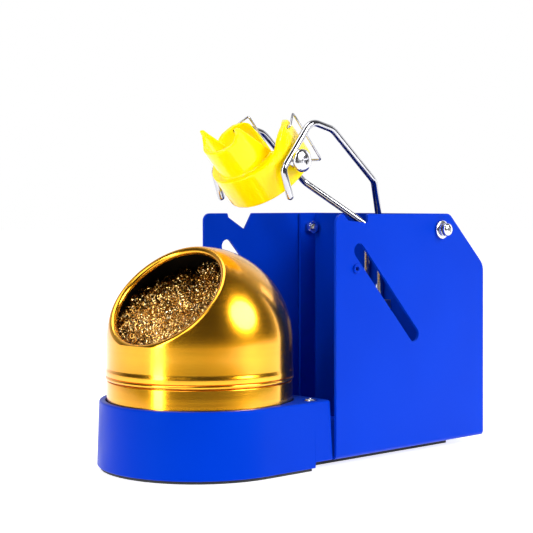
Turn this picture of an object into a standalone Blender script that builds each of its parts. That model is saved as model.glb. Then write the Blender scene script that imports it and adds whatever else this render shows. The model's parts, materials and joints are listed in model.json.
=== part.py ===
"""Soldering iron station: a folded steel stand, a yellow iron receptacle on two wire arms,
and a brass-wool tip cleaner in a cast tray. Metres, +Z up, tray towards -X."""

import math

import bmesh
import bpy
from mathutils import Matrix, Vector

MM = 0.001
GAP = 0.3 * MM                     # left between pieces that touch

# ---- overall layout -------------------------------------------------------------------
STAND_LEFT = -7.5 * MM             # front edge of the stand's side walls
STAND_RIGHT = 86.5 * MM
STAND_HALF_WIDTH = 43.0 * MM
STAND_BOTTOM = 3.2 * MM            # the stand rests on a rubber mat
STAND_TOP = 103.8 * MM
SHEET = 1.2 * MM
FOLD_RADIUS = 2.0 * MM

# ---- features of the side walls -------------------------------------------------------
WALL_CORNER_RADIUS = 3.5 * MM
CHAMFER_START = 62.7 * MM          # where the flat top turns down
CHAMFER_DROP = 21.5 * MM
SLOT_WIDTH = 6.2 * MM
SLOT_TOP = (6.1 * MM, 88.6 * MM)   # centres of the round ends, as X and Z
SLOT_BOTTOM = (39.8 * MM, 51.8 * MM)
EYELET = (4.0 * MM, 81.2 * MM)
TONGUE_LEFT = -24.0 * MM
TONGUE_HALF_WIDTH = 38.5 * MM

# ---- end panel ------------------------------------------------------------------------
PANEL_X = 62.7 * MM                # outer face
PANEL_FLANGE = 11.4 * MM
PANEL_HALF_WIDTH = STAND_HALF_WIDTH - SHEET - GAP
PANEL_SCREW = (57.6 * MM, 96.8 * MM)
CLAMP_HOLE_PITCH = 11.3 * MM
CLAMP_HOLE_TOP = 81.0 * MM

# ---- wire arms ------------------------------------------------------------------------
ARM_WIRE = 3.0 * MM
ARM_Y = 22.2 * MM
LEG_Y = 4.2 * MM
LEG_X = PANEL_X - SHEET - GAP - ARM_WIRE / 2
LEG_BOTTOM = 24.0 * MM

# ---- receptacle, in its own frame: x along the iron, z square to it, origin on the pivot --
PIVOT = Vector((-9.5 * MM, 0.0, 126.2 * MM))
IRON_SLOPE = math.radians(47)
SHELL_RADIUS = 20.4 * MM
SHELL_DROP = -1.0 * MM             # the shell's centre sits this far off the pivot
SHELL_WALL = 2.6 * MM
SHELL_REAR = 7.3 * MM
SHELL_FRONT = -7.3 * MM
LOBE_FRONT = -13.6 * MM
TROUGH_RADIUS = 12.4 * MM
TROUGH_DROP = -6.8 * MM
TROUGH_WALL = 1.8 * MM
TROUGH_TIP = -26.6 * MM
BAIL_WIRE = 1.1 * MM
BAIL_PIVOT = (-11.6 * MM, 8.0 * MM)
PIVOT_SCREW = 5.0 * MM

# ---- tip cleaner ----------------------------------------------------------------------
CLEANER_X = -44.3 * MM
CUP_RADIUS = 38.4 * MM
CUP_WALL = 1.0 * MM
CUP_RIM = 35.7 * MM
DOME_RADIUS = 38.5 * MM
DOME_WALL = 1.0 * MM
DOME_CENTRE_Z = 52.0 * MM
BAND_TOP = 41.0 * MM
NECK_DEPTH = 6.0 * MM
MOUTH_TILT = math.radians(43.4)    # of the opening's axis above level
MOUTH_TURN = math.radians(8.0)     # of the opening towards the near side
MOUTH_DISTANCE = 28.2 * MM         # of the opening's plane from the dome's centre

# ---- tray -----------------------------------------------------------------------------
TRAY_RADIUS = 42.3 * MM
TRAY_RIGHT = STAND_LEFT - GAP
TRAY_TOP = 27.8 * MM
TRAY_BOTTOM = 1.2 * MM
TRAY_FLOOR = 4.7 * MM
TRAY_FLOOR_THICK = 2.0 * MM
WELL_RADIUS = 38.9 * MM
WELL_WALL = 2.2 * MM
TRAY_SCREW = (-15.2 * MM, 35.5 * MM)
RAISED_SKIRT = -18.5 * MM          # from here on the skirt clears the rubber mat

# ---- fasteners: thread, head radius, head height --------------------------------------
M3 = (3.0 * MM, 2.75 * MM, 2.0 * MM)
M5 = (5.0 * MM, 4.85 * MM, 2.9 * MM)


# ---------------------------------------------------------------------------------------
# shared helpers
# ---------------------------------------------------------------------------------------
def clear_scene():
    for old in list(bpy.data.objects):
        bpy.data.objects.remove(old, do_unlink=True)


def make_material(name, colour, roughness, metallic=0.0):
    material = bpy.data.materials.new(name)
    material.use_nodes = True
    shader = material.node_tree.nodes["Principled BSDF"]
    shader.inputs["Base Color"].default_value = (*colour, 1.0)
    shader.inputs["Roughness"].default_value = roughness
    shader.inputs["Metallic"].default_value = metallic
    return material


def add_object(name, data, material=None, parent=None):
    obj = bpy.data.objects.new(name, data)
    bpy.context.scene.collection.objects.link(obj)
    if material:
        data.materials.append(material)
    if parent:
        obj.parent = parent
    return obj


def mesh_from(bm, name, smooth_angle=None):
    bmesh.ops.recalc_face_normals(bm, faces=bm.faces)
    mesh = bpy.data.meshes.new(name)
    bm.to_mesh(mesh)
    bm.free()
    if smooth_angle is not None:
        mesh.shade_smooth()
        mesh.set_sharp_from_angle(angle=math.radians(smooth_angle))
    return mesh


def arc(centre, radius, start, end, steps):
    """Points on a circle from one angle to another, in degrees, both ends included."""
    points = []
    for i in range(steps + 1):
        angle = math.radians(start + (end - start) * i / steps)
        points.append((centre[0] + radius * math.cos(angle), centre[1] + radius * math.sin(angle)))
    return points


def place_xz(x, z, y):
    return Vector((x, y, z))


def place_yz(y, z, x):
    return Vector((x, y, z))


def place_xy(x, y, z):
    return Vector((x, y, z))


def prism(outline, low, high, place, top_outline=None):
    """A closed bar: an outline drawn in one plane, carried from low to high across it."""
    bm = bmesh.new()
    upper = top_outline or outline
    first = [bm.verts.new(place(a, b, low)) for a, b in outline]
    second = [bm.verts.new(place(a, b, high)) for a, b in upper]
    count = len(outline)
    for i in range(count):
        j = (i + 1) % count
        bm.faces.new((first[i], first[j], second[j], second[i]))
    bm.faces.new(first[::-1])
    bm.faces.new(second)
    return bm


def level_ring(bm, radius, height, steps):
    """A ring of points about +Z, or the one point on the axis when the radius is nothing."""
    if radius <= 0.0:
        return [bm.verts.new((0.0, 0.0, height))]
    points = []
    for i in range(steps):
        angle = 2 * math.pi * i / steps
        points.append(bm.verts.new((radius * math.cos(angle), radius * math.sin(angle), height)))
    return points


def join_rings(bm, pairs, steps):
    for lower, upper in pairs:
        for i in range(steps):
            j = (i + 1) % steps
            if len(lower) == 1:
                bm.faces.new((lower[0], upper[i], upper[j]))
            elif len(upper) == 1:
                bm.faces.new((lower[i], upper[0], lower[j]))
            else:
                bm.faces.new((lower[i], lower[j], upper[j], upper[i]))


def turned(profile, steps):
    """A closed ring or plug turned about +Z; the profile lists radius and height in order."""
    bm = bmesh.new()
    rings = [level_ring(bm, radius, height, steps) for radius, height in profile]
    pairs = list(zip(rings, rings[1:]))
    if profile[0][0] > 0.0:
        pairs.append((rings[-1], rings[0]))
    join_rings(bm, pairs, steps)
    return bm


def cutter(name, bm, parent=None):
    obj = add_object(name, mesh_from(bm, name), parent=parent)
    obj.hide_render = True
    obj.display_type = "WIRE"
    return obj


def apply_boolean(obj, tool, operation):
    modifier = obj.modifiers.new(operation.title() + " " + tool.name, "BOOLEAN")
    modifier.operation = operation
    modifier.object = tool


def cut(obj, tool):
    apply_boolean(obj, tool, "DIFFERENCE")


def round_rod(radius, low, high, steps=20):
    return turned([(0.0, low), (radius, low), (radius, high), (0.0, high)], steps)


def along_y(bm, x, z):
    """Turns a piece made about +Z so that it lies along +Y through the point x, z."""
    turn = Matrix.Rotation(math.radians(-90), 4, "X")
    bm.transform(Matrix.Translation((x, 0.0, z)) @ turn)
    return bm


def rounded_route(corners, radii, steps=5):
    """A polyline whose inner corners are replaced by arcs of the given radii."""
    route = [corners[0]]
    for before, corner, after, radius in zip(corners, corners[1:], corners[2:], radii):
        back = (before - corner).normalized()
        ahead = (after - corner).normalized()
        half = back.angle(ahead) / 2
        reach = radius / math.tan(half)
        centre = corner + (back + ahead).normalized() * (radius / math.sin(half))
        start = corner + back * reach - centre
        end = corner + ahead * reach - centre
        sweep = start.angle(end)
        for i in range(steps + 1):
            t = i / steps
            blend = math.sin((1 - t) * sweep) * start + math.sin(t * sweep) * end
            route.append(centre + blend / math.sin(sweep))
    route.append(corners[-1])
    return route


def wire(name, route, diameter, material, parent=None, sides=2):
    curve = bpy.data.curves.new(name, "CURVE")
    curve.dimensions = "3D"
    curve.bevel_depth = diameter / 2
    curve.bevel_resolution = sides
    curve.use_fill_caps = True
    spline = curve.splines.new("POLY")
    spline.points.add(len(route) - 1)
    for point, place in zip(spline.points, route):
        point.co = (*place, 1.0)
    return add_object(name, curve, material, parent)


# ---------------------------------------------------------------------------------------
# fasteners, made along +Z with the head's underside at height 0
# ---------------------------------------------------------------------------------------
def pan_head_screw(kind, length, steps=20):
    thread, head_radius, head_height = kind
    profile = [(0.0, -length), (thread / 2 - 0.4 * MM, -length), (thread / 2, -length + 0.4 * MM)]
    profile += [(thread / 2, 0.0), (head_radius, 0.0), (head_radius, head_height * 0.45)]
    profile += [(head_radius * 0.82, head_height * 0.85), (head_radius * 0.45, head_height)]
    profile += [(0.0, head_height)]
    return turned(profile, steps)


def washer(inner, outer, thick, steps=20):
    return turned([(inner, 0.0), (outer, 0.0), (outer, thick), (inner, thick)], steps)


def split_washer(inner, outer, thick):
    """A spring lock washer: a ring with a slit, its ends sprung apart along its axis."""
    steps = 22
    slit = math.radians(10)
    spring = thick * 0.45
    bm = bmesh.new()
    loops = []
    for i in range(steps + 1):
        angle = slit + (2 * math.pi - 2 * slit) * i / steps
        rise = spring * i / steps
        corners = [(inner, rise), (outer, rise), (outer, rise + thick), (inner, rise + thick)]
        ring = [(r * math.cos(angle), r * math.sin(angle), z) for r, z in corners]
        loops.append([bm.verts.new(point) for point in ring])
    for first, second in zip(loops, loops[1:]):
        for k in range(4):
            bm.faces.new((first[k], first[(k + 1) % 4], second[(k + 1) % 4], second[k]))
    bm.faces.new(loops[0][::-1])
    bm.faces.new(loops[-1])
    return bm


def hex_nut(inner, across_flats, thick):
    corner = across_flats / 2 / math.cos(math.radians(30))
    bm = bmesh.new()
    steps = 24
    rings = []
    for height in (0.0, thick):
        hole = []
        rim = []
        for i in range(steps):
            angle = 2 * math.pi * i / steps
            off_flat = (angle + math.pi / 6) % (math.pi / 3) - math.pi / 6
            reach = min(corner, across_flats / 2 / math.cos(off_flat))
            hole.append(bm.verts.new((inner * math.cos(angle), inner * math.sin(angle), height)))
            rim.append(bm.verts.new((reach * math.cos(angle), reach * math.sin(angle), height)))
        rings.append((hole, rim))
    (hole_low, rim_low), (hole_high, rim_high) = rings
    for i in range(steps):
        j = (i + 1) % steps
        bm.faces.new((hole_low[i], hole_low[j], rim_low[j], rim_low[i]))
        bm.faces.new((hole_high[j], hole_high[i], rim_high[i], rim_high[j]))
        bm.faces.new((rim_low[i], rim_low[j], rim_high[j], rim_high[i]))
        bm.faces.new((hole_low[j], hole_low[i], hole_high[i], hole_high[j]))
    return bm


def set_along(bm, origin, direction):
    """Puts a fastener made along +Z at a place, its +Z turned to the given direction."""
    turn = Vector((0, 0, 1)).rotation_difference(direction).to_matrix().to_4x4()
    bm.transform(Matrix.Translation(origin) @ turn)
    return bm


def fastener(name, bm, origin, direction, material, parent=None):
    mesh = mesh_from(set_along(bm, origin, direction), name, smooth_angle=35)
    return add_object(name, mesh, material, parent)


# ---------------------------------------------------------------------------------------
# stand
# ---------------------------------------------------------------------------------------
def u_section():
    """The folded sheet seen from the end, as Y and Z, with rounded folds."""
    outer = STAND_HALF_WIDTH
    inner = outer - SHEET
    low = STAND_BOTTOM
    bend = FOLD_RADIUS
    points = [(-outer, STAND_TOP)]
    points += arc((-outer + bend, low + bend), bend, 180, 270, 4)
    points += arc((outer - bend, low + bend), bend, 270, 360, 4)
    points += [(outer, STAND_TOP), (inner, STAND_TOP)]
    points += arc((outer - bend, low + bend), bend - SHEET, 360, 270, 4)
    points += arc((-outer + bend, low + bend), bend - SHEET, 270, 180, 4)
    points += [(-inner, STAND_TOP)]
    return points


def slot_outline():
    """A straight slot with round ends between its two centres, as X and Z."""
    radius = SLOT_WIDTH / 2
    run = math.degrees(math.atan2(SLOT_BOTTOM[1] - SLOT_TOP[1], SLOT_BOTTOM[0] - SLOT_TOP[0]))
    points = arc(SLOT_BOTTOM, radius, run - 90, run + 90, 8)
    points += arc(SLOT_TOP, radius, run + 90, run + 270, 8)
    return points


def build_stand(paint):
    over = 5 * MM
    section = prism(u_section(), TONGUE_LEFT, STAND_RIGHT, place_yz)
    stand = add_object("stand", mesh_from(section, "stand"), paint)

    # in front of the walls only a narrower tongue is left, under the tray
    front = [(TONGUE_LEFT - over, STAND_BOTTOM + SHEET), (STAND_LEFT, STAND_BOTTOM + SHEET)]
    front += [(STAND_LEFT, STAND_TOP + over), (TONGUE_LEFT - over, STAND_TOP + over)]
    cut(stand, cutter("cut_front", prism(front, -0.1, 0.1, place_xz)))
    for side in (-1, 1):
        strip = [(TONGUE_LEFT - over, side * TONGUE_HALF_WIDTH), (STAND_LEFT, side * TONGUE_HALF_WIDTH)]
        strip += [(STAND_LEFT, side * 0.06), (TONGUE_LEFT - over, side * 0.06)]
        cut(stand, cutter(f"cut_strip_{side + 1}", prism(strip, 0.0, 0.02, place_xy)))

    # the back corner slopes at 45 degrees, with its two ends eased
    slope_end = CHAMFER_START + CHAMFER_DROP
    slope = [(CHAMFER_START - 2 * MM, STAND_TOP + over), (CHAMFER_START - 2 * MM, STAND_TOP)]
    slope += [(CHAMFER_START + 1.5 * MM, STAND_TOP - 1.0 * MM)]
    slope += [(slope_end + 0.6 * MM, STAND_TOP - CHAMFER_DROP)]
    slope += [(STAND_RIGHT, STAND_TOP - CHAMFER_DROP - 4.5 * MM)]
    slope += [(STAND_RIGHT + over, STAND_TOP - CHAMFER_DROP - 4.5 * MM)]
    slope += [(STAND_RIGHT + over, STAND_TOP + over)]
    cut(stand, cutter("cut_slope", prism(slope, -0.1, 0.1, place_xz)))

    # round front top corners
    centre = (STAND_LEFT + WALL_CORNER_RADIUS, STAND_TOP - WALL_CORNER_RADIUS)
    corner = arc(centre, WALL_CORNER_RADIUS, 180, 90, 6)
    corner = [(STAND_LEFT - over, centre[1])] + corner
    corner += [(centre[0], STAND_TOP + over), (STAND_LEFT - over, STAND_TOP + over)]
    cut(stand, cutter("cut_corner", prism(corner, -0.1, 0.1, place_xz)))

    # a shallow rest in the near wall, a V rest in the far wall
    near_rest = [(-3.4 * MM, STAND_TOP + over), (-3.4 * MM, STAND_TOP), (-0.4 * MM, STAND_TOP - 2.6 * MM)]
    near_rest += [(11.1 * MM, STAND_TOP - 3.7 * MM), (11.1 * MM, STAND_TOP + over)]
    cut(stand, cutter("cut_near_rest", prism(near_rest, -0.06, -0.02, place_xz)))
    far_rest = [(6.4 * MM, STAND_TOP + over), (6.4 * MM, STAND_TOP - 1.5 * MM)]
    far_rest += [(16.9 * MM, STAND_TOP - 7.7 * MM), (21.6 * MM, STAND_TOP), (21.6 * MM, STAND_TOP + over)]
    cut(stand, cutter("cut_far_rest", prism(far_rest, 0.02, 0.06, place_xz)))

    # slanted slots, small eyelets and panel screw holes go through both walls
    cut(stand, cutter("cut_slots", prism(slot_outline(), -0.1, 0.1, place_xz)))
    holes = {"cut_eyelets": (EYELET, 0.9 * MM), "cut_panel_holes": (PANEL_SCREW, 1.8 * MM)}
    for name, (place, radius) in holes.items():
        cut(stand, cutter(name, along_y(round_rod(radius, -0.1, 0.1, 12), *place)))
    for side in (-1, 1):
        rod = round_rod(1.8 * MM, 0.0, 0.02, 12)
        rod.transform(Matrix.Translation((TRAY_SCREW[0], side * TRAY_SCREW[1], 0.0)))
        cut(stand, cutter(f"cut_tongue_hole_{side + 1}", rod))

    # raised collars round the eyelets
    for side in (-1, 1):
        collar = washer(0.9 * MM, 1.8 * MM, 0.6 * MM, 12)
        outside = Vector((EYELET[0], side * (STAND_HALF_WIDTH + GAP), EYELET[1]))
        name = "eyelet_near" if side < 0 else "eyelet_far"
        fastener(name, collar, outside, Vector((0, side, 0)), paint)
    return stand


def build_mat(rubber):
    outline = [(RAISED_SKIRT + GAP, -33 * MM), (72.5 * MM, -33 * MM)]
    outline += [(72.5 * MM, 33 * MM), (RAISED_SKIRT + GAP, 33 * MM)]
    mesh = mesh_from(prism(outline, 0.0, STAND_BOTTOM - GAP, place_xy), "stand_mat")
    return add_object("stand_mat", mesh, rubber)


def build_end_panel(paint):
    half = PANEL_HALF_WIDTH
    back = PANEL_X
    bend = FOLD_RADIUS
    front = back - PANEL_FLANGE
    section = [(front, -half)]
    section += arc((back - bend, -half + bend), bend, -90, 0, 4)
    section += arc((back - bend, half - bend), bend, 0, 90, 4)
    section += [(front, half), (front, half - SHEET)]
    section += arc((back - bend, half - bend), bend - SHEET, 90, 0, 4)
    section += arc((back - bend, -half + bend), bend - SHEET, 0, -90, 4)
    section += [(front, -half + SHEET)]
    low = STAND_BOTTOM + SHEET + GAP + 1.5 * MM
    panel = add_object("end_panel", mesh_from(prism(section, low, STAND_TOP, place_xy), "end_panel"), paint)
    cut(panel, cutter("cut_flange_holes", along_y(round_rod(1.8 * MM, -0.1, 0.1, 12), *PANEL_SCREW)))
    for i in range(4):
        radius = 1.2 * MM if i < 2 else 1.8 * MM
        rod = round_rod(radius, -0.01, 0.01, 12)
        set_along(rod, Vector((back, 0.0, CLAMP_HOLE_TOP - i * CLAMP_HOLE_PITCH)), Vector((1, 0, 0)))
        cut(panel, cutter(f"cut_clamp_hole_{i + 1}", rod))
    return panel


def build_panel_fasteners(steel):
    """M3 screw, spring washer and flat washer outside each wall, with a nut inside the flange."""
    x, z = PANEL_SCREW
    for side, label in ((-1, "near"), (1, "far")):
        outward = Vector((0, side, 0))
        face = STAND_HALF_WIDTH + GAP
        flat = 0.8 * MM
        spring = 1.0 * MM
        seat = face + flat + GAP
        head = seat + spring * 1.45 + GAP
        nut_face = PANEL_HALF_WIDTH - SHEET - GAP
        place = Vector((x, side * face, z))
        fastener(f"panel_washer_{label}", washer(1.65 * MM, 4.0 * MM, flat), place, outward, steel)
        place = Vector((x, side * seat, z))
        fastener(f"spring_washer_{label}", split_washer(1.65 * MM, 3.1 * MM, spring), place, outward, steel)
        length = head - nut_face + 3.6 * MM
        place = Vector((x, side * head, z))
        fastener(f"panel_screw_{label}", pan_head_screw(M3, length), place, outward, steel)
        place = Vector((x, side * nut_face, z))
        fastener(f"panel_nut_{label}", hex_nut(1.8 * MM, 5.5 * MM, 2.4 * MM), place, -outward, steel)


# ---------------------------------------------------------------------------------------
# wire arms and their clamp
# ---------------------------------------------------------------------------------------
def arm_route(side):
    """From the free end beside the receptacle, over the top bend, to the foot of the leg."""
    y = side * ARM_Y
    corners = [
        Vector((-13.5 * MM, y, 109.7 * MM)),
        Vector((-18.0 * MM, y, 122.6 * MM)),
        Vector((-2.0 * MM, y, 143.1 * MM)),
        Vector((11.0 * MM, y, 140.0 * MM)),
        Vector((36.5 * MM, y, 118.3 * MM)),
        Vector((LEG_X, side * LEG_Y, 98.0 * MM)),
        Vector((LEG_X, side * LEG_Y, LEG_BOTTOM)),
    ]
    return rounded_route(corners, [4.0 * MM, 7.0 * MM, 9.0 * MM, 7.0 * MM, 5.0 * MM])


def build_arms(steel):
    for side, label in ((-1, "near"), (1, "far")):
        wire(f"wire_arm_{label}", arm_route(side), ARM_WIRE, steel)


def build_clamp(zinc, steel):
    """A grooved block pulls both legs against the end panel with two screws."""
    face = PANEL_X - SHEET - GAP
    thick = 4.4 * MM
    half = 9.5 * MM
    low, high = 41.5 * MM, 64.0 * MM
    groove = ARM_WIRE / 2 + GAP
    outline = [(face - thick, -half), (face, -half)]
    for centre in (-LEG_Y, LEG_Y):
        outline += [(face, centre - groove)]
        outline += arc((LEG_X, centre), groove, 270, 90, 8)
        outline += [(face, centre + groove)]
    outline += [(face, half), (face - thick, half)]
    block = add_object("arm_clamp", mesh_from(prism(outline, low, high, place_xy), "arm_clamp"), zinc)
    for i, label in ((2, "upper"), (3, "lower")):
        z = CLAMP_HOLE_TOP - i * CLAMP_HOLE_PITCH
        rod = round_rod(1.8 * MM, -0.02, 0.02, 12)
        set_along(rod, Vector((face, 0.0, z)), Vector((1, 0, 0)))
        cut(block, cutter(f"cut_clamp_{label}", rod))
        head = Vector((face - thick - GAP, 0.0, z))
        length = thick + SHEET + 2 * GAP + 4.2 * MM
        fastener(f"clamp_screw_{label}", pan_head_screw(M3, length), head, Vector((-1, 0, 0)), steel)
        behind = Vector((PANEL_X + GAP, 0.0, z))
        nut = hex_nut(1.8 * MM, 5.5 * MM, 2.4 * MM)
        fastener(f"clamp_nut_{label}", nut, behind, Vector((1, 0, 0)), steel)


# ---------------------------------------------------------------------------------------
# receptacle and its bail
# ---------------------------------------------------------------------------------------
def circle(radius, centre_z, steps=44):
    return arc((0.0, centre_z), radius, 0, 360 - 360 / steps, steps - 1)


def u_outline(radius, centre_z, top):
    """A half round with upright sides, as Y and Z."""
    points = [(radius, top)]
    points += arc((0.0, centre_z), radius, 0, -180, 18)
    points += [(-radius, top)]
    return points


def trough_edge(x):
    """Height of the trough's sloping top edge."""
    return -8.6 * MM + 0.381 * (x + 26.4 * MM)


def build_receptacle(yellow, frame):
    over = 3 * MM
    inner = SHELL_RADIUS - SHELL_WALL
    shell = prism(circle(SHELL_RADIUS, SHELL_DROP), LOBE_FRONT, SHELL_REAR, place_yz)
    body = add_object("receptacle", mesh_from(shell, "receptacle", smooth_angle=30), yellow, frame)

    hollow = prism(circle(inner, SHELL_DROP), LOBE_FRONT - over, SHELL_REAR + over, place_yz)
    cut(body, cutter("cut_hollow", hollow, frame))

    # the front edge runs back below the lobes; the top is open between them
    edge = [(LOBE_FRONT - over, -0.03), (SHELL_FRONT, -0.03), (SHELL_FRONT, -12 * MM)]
    edge += [(-8.0 * MM, -7.5 * MM), (-9.4 * MM, -4.2 * MM), (-12.0 * MM, -0.6 * MM)]
    edge += [(LOBE_FRONT, 3.0 * MM), (LOBE_FRONT - over, 3.0 * MM)]
    cut(body, cutter("cut_front_edge", prism(edge, -0.03, 0.03, place_xz), frame))
    nose = [(LOBE_FRONT - over, 9.0 * MM), (LOBE_FRONT, 9.0 * MM), (-12.9 * MM, 12.0 * MM)]
    nose += [(-11.3 * MM, 13.2 * MM), (-5.0 * MM, 14.2 * MM)]
    nose += [(SHELL_REAR - 2 * MM, 15.0 * MM), (SHELL_REAR + over, 12.0 * MM)]
    nose += [(SHELL_REAR + over, 0.03), (LOBE_FRONT - over, 0.03)]
    cut(body, cutter("cut_top_edge", prism(nose, -0.03, 0.03, place_xz), frame))

    # a thin flange closes the space between the shell and the trough
    flange_front = SHELL_FRONT + 0.15 * MM
    flange_radius = inner + 0.6 * MM
    flange_top = trough_edge(SHELL_FRONT)
    start = math.degrees(math.asin((flange_top - SHELL_DROP) / flange_radius))
    lower = arc((0.0, SHELL_DROP), flange_radius, start, -180 - start, 40)
    flange = prism(lower, flange_front, flange_front + 1.8 * MM, place_yz)
    apply_boolean(body, cutter("flange_plate", flange, frame), "UNION")

    # the trough: its cross-section cut to its side view, then joined to the shell
    trough_section = u_outline(TROUGH_RADIUS, TROUGH_DROP, 8 * MM)
    trough_mesh = prism(trough_section, TROUGH_TIP - over, SHELL_REAR - GAP, place_yz)
    trough = cutter("trough_blank", trough_mesh, frame)
    side_view = [(-21.6 * MM, -0.03), (-21.6 * MM, -15.0 * MM), (-22.4 * MM, -12.6 * MM)]
    side_view += [(-24.6 * MM, -10.6 * MM), (TROUGH_TIP, -9.6 * MM)]
    side_view += arc((-25.4 * MM, -9.4 * MM), 1.1 * MM, 170, 100, 4)
    side_view += [(SHELL_REAR + over, trough_edge(SHELL_REAR + over)), (SHELL_REAR + over, -0.03)]
    keep = cutter("trough_side_view", prism(side_view, -0.03, 0.03, place_xz), frame)
    apply_boolean(trough, keep, "INTERSECT")
    apply_boolean(body, trough, "UNION")
    bore = u_outline(TROUGH_RADIUS - TROUGH_WALL, TROUGH_DROP, 30 * MM)
    cut(body, cutter("cut_trough", prism(bore, TROUGH_TIP - over, SHELL_REAR + over, place_yz), frame))

    # pivot holes and the small holes that take the bail's hooks
    bores = along_y(round_rod(PIVOT_SCREW / 2 + GAP, -0.03, 0.03, 20), 0.0, 0.0)
    cut(body, cutter("cut_pivot_holes", bores, frame))
    hook = along_y(round_rod(BAIL_WIRE / 2 + GAP, -0.03, 0.03, 12), *BAIL_PIVOT)
    cut(body, cutter("cut_hook_holes", hook, frame))
    return body


def build_pivot_fasteners(steel):
    for side, label in ((-1, "near"), (1, "far")):
        outward = Vector((0, side, 0))
        head = ARM_Y + ARM_WIRE / 2 + GAP
        tip = TROUGH_RADIUS + 0.6 * MM
        screw = pan_head_screw(M5, head - tip, 28)
        fastener(f"pivot_screw_{label}", screw, PIVOT + outward * head, outward, steel)
        nut = hex_nut(PIVOT_SCREW / 2 + GAP, 8.0 * MM, 3.6 * MM)
        fastener(f"pivot_nut_{label}", nut, PIVOT + outward * 16.5 * MM, -outward, steel)


def build_bail(steel, frame):
    """A springy wire hooked in both lobes, lying on their top edges and joined behind them."""
    x, z = BAIL_PIVOT
    rail = 15.0 * MM + GAP + BAIL_WIRE / 2 + 0.5 * MM
    corners = []
    for side in (-1, 1):
        half = [
            Vector((x, side * 14.6 * MM, z)),
            Vector((x, side * 19.6 * MM, z)),
            Vector((x - 0.4 * MM, side * 14.3 * MM, rail + 1.0 * MM)),
            Vector((13.8 * MM, side * 14.3 * MM, rail)),
        ]
        corners.append(half)
    path = corners[0] + corners[1][::-1]
    radii = [1.1 * MM, 1.2 * MM, 1.4 * MM, 1.4 * MM, 1.2 * MM, 1.1 * MM]
    return wire("bail", rounded_route(path, radii, 3), BAIL_WIRE, steel, frame)


# ---------------------------------------------------------------------------------------
# tip cleaner
# ---------------------------------------------------------------------------------------
def turned_at_cleaner(name, profile, material, steps=56):
    bm = turned(profile, steps)
    bm.transform(Matrix.Translation((CLEANER_X, 0.0, 0.0)))
    return add_object(name, mesh_from(bm, name, smooth_angle=30), material)


def build_cup(gold):
    low = TRAY_FLOOR + TRAY_FLOOR_THICK + GAP
    inner = CUP_RADIUS - CUP_WALL
    profile = [(0.0, low), (CUP_RADIUS - 3 * MM, low)]
    profile += arc((CUP_RADIUS - 3 * MM, low + 3 * MM), 3 * MM, -90, 0, 4)[1:]
    profile += [(CUP_RADIUS, CUP_RIM), (inner, CUP_RIM), (inner, low + 3 * MM)]
    profile += [(inner - 2 * MM, low + CUP_WALL), (0.0, low + CUP_WALL)]
    return turned_at_cleaner("cleaner_cup", profile, gold, 56)


def mouth_axis():
    flat = Vector((-math.cos(MOUTH_TURN), -math.sin(MOUTH_TURN), 0.0))
    return flat * math.cos(MOUTH_TILT) + Vector((0, 0, math.sin(MOUTH_TILT)))


def half_space(name, origin, normal, size=0.12):
    """A big box whose lower face passes through a point, square to the given normal."""
    bm = round_rod(size / 2, 0.0, size, 4)
    return cutter(name, set_along(bm, origin, normal))


def build_dome(gold):
    """Spun cover: rolled hem above a neck that plugs into the cup, and a slanted round opening."""
    outer = DOME_RADIUS
    inner = outer - DOME_WALL
    neck = CUP_RADIUS - CUP_WALL - 0.4 * MM
    hem = CUP_RIM + GAP
    sphere = [(outer * math.cos(a), DOME_CENTRE_Z + outer * math.sin(a)) for a in angles(0, 90, 12)]
    hollow = [(inner * math.cos(a), DOME_CENTRE_Z + inner * math.sin(a)) for a in angles(90, 0, 12)]
    profile = [(neck - DOME_WALL, hem - NECK_DEPTH), (neck, hem - NECK_DEPTH), (neck, hem)]
    profile += [(outer + 0.2 * MM, hem), (outer + 0.5 * MM, hem + 1.0 * MM)]
    profile += [(outer + 0.4 * MM, BAND_TOP - 1.5 * MM), (outer, BAND_TOP)]
    profile += [(outer, DOME_CENTRE_Z)] + sphere[1:-1] + [(0.0, DOME_CENTRE_Z + outer)]
    lining = [(0.0, DOME_CENTRE_Z + inner)] + hollow[1:-1]
    lining += [(inner, DOME_CENTRE_Z), (inner, hem + 2.0 * MM), (neck - DOME_WALL, hem)]
    bm = ring_with_two_poles(profile, lining, 56)
    bm.transform(Matrix.Translation((CLEANER_X, 0.0, 0.0)))
    dome = add_object("cleaner_dome", mesh_from(bm, "cleaner_dome", smooth_angle=30), gold)
    centre = Vector((CLEANER_X, 0.0, DOME_CENTRE_Z))
    axis = mouth_axis()
    cut(dome, half_space("cut_dome_mouth", centre + axis * MOUTH_DISTANCE, axis))
    return dome


def angles(start, end, steps):
    return [math.radians(start + (end - start) * i / steps) for i in range(steps + 1)]


def ring_with_two_poles(skin, lining, steps):
    """A shell turned about +Z: the skin climbs to its pole, the lining comes down from its own."""
    bm = bmesh.new()
    skin_rings = [level_ring(bm, radius, height, steps) for radius, height in skin]
    lining_rings = [level_ring(bm, radius, height, steps) for radius, height in lining]
    pairs = list(zip(skin_rings, skin_rings[1:])) + list(zip(lining_rings, lining_rings[1:]))
    pairs.append((lining_rings[-1], skin_rings[0]))
    join_rings(bm, pairs, steps)
    return bm


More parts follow.
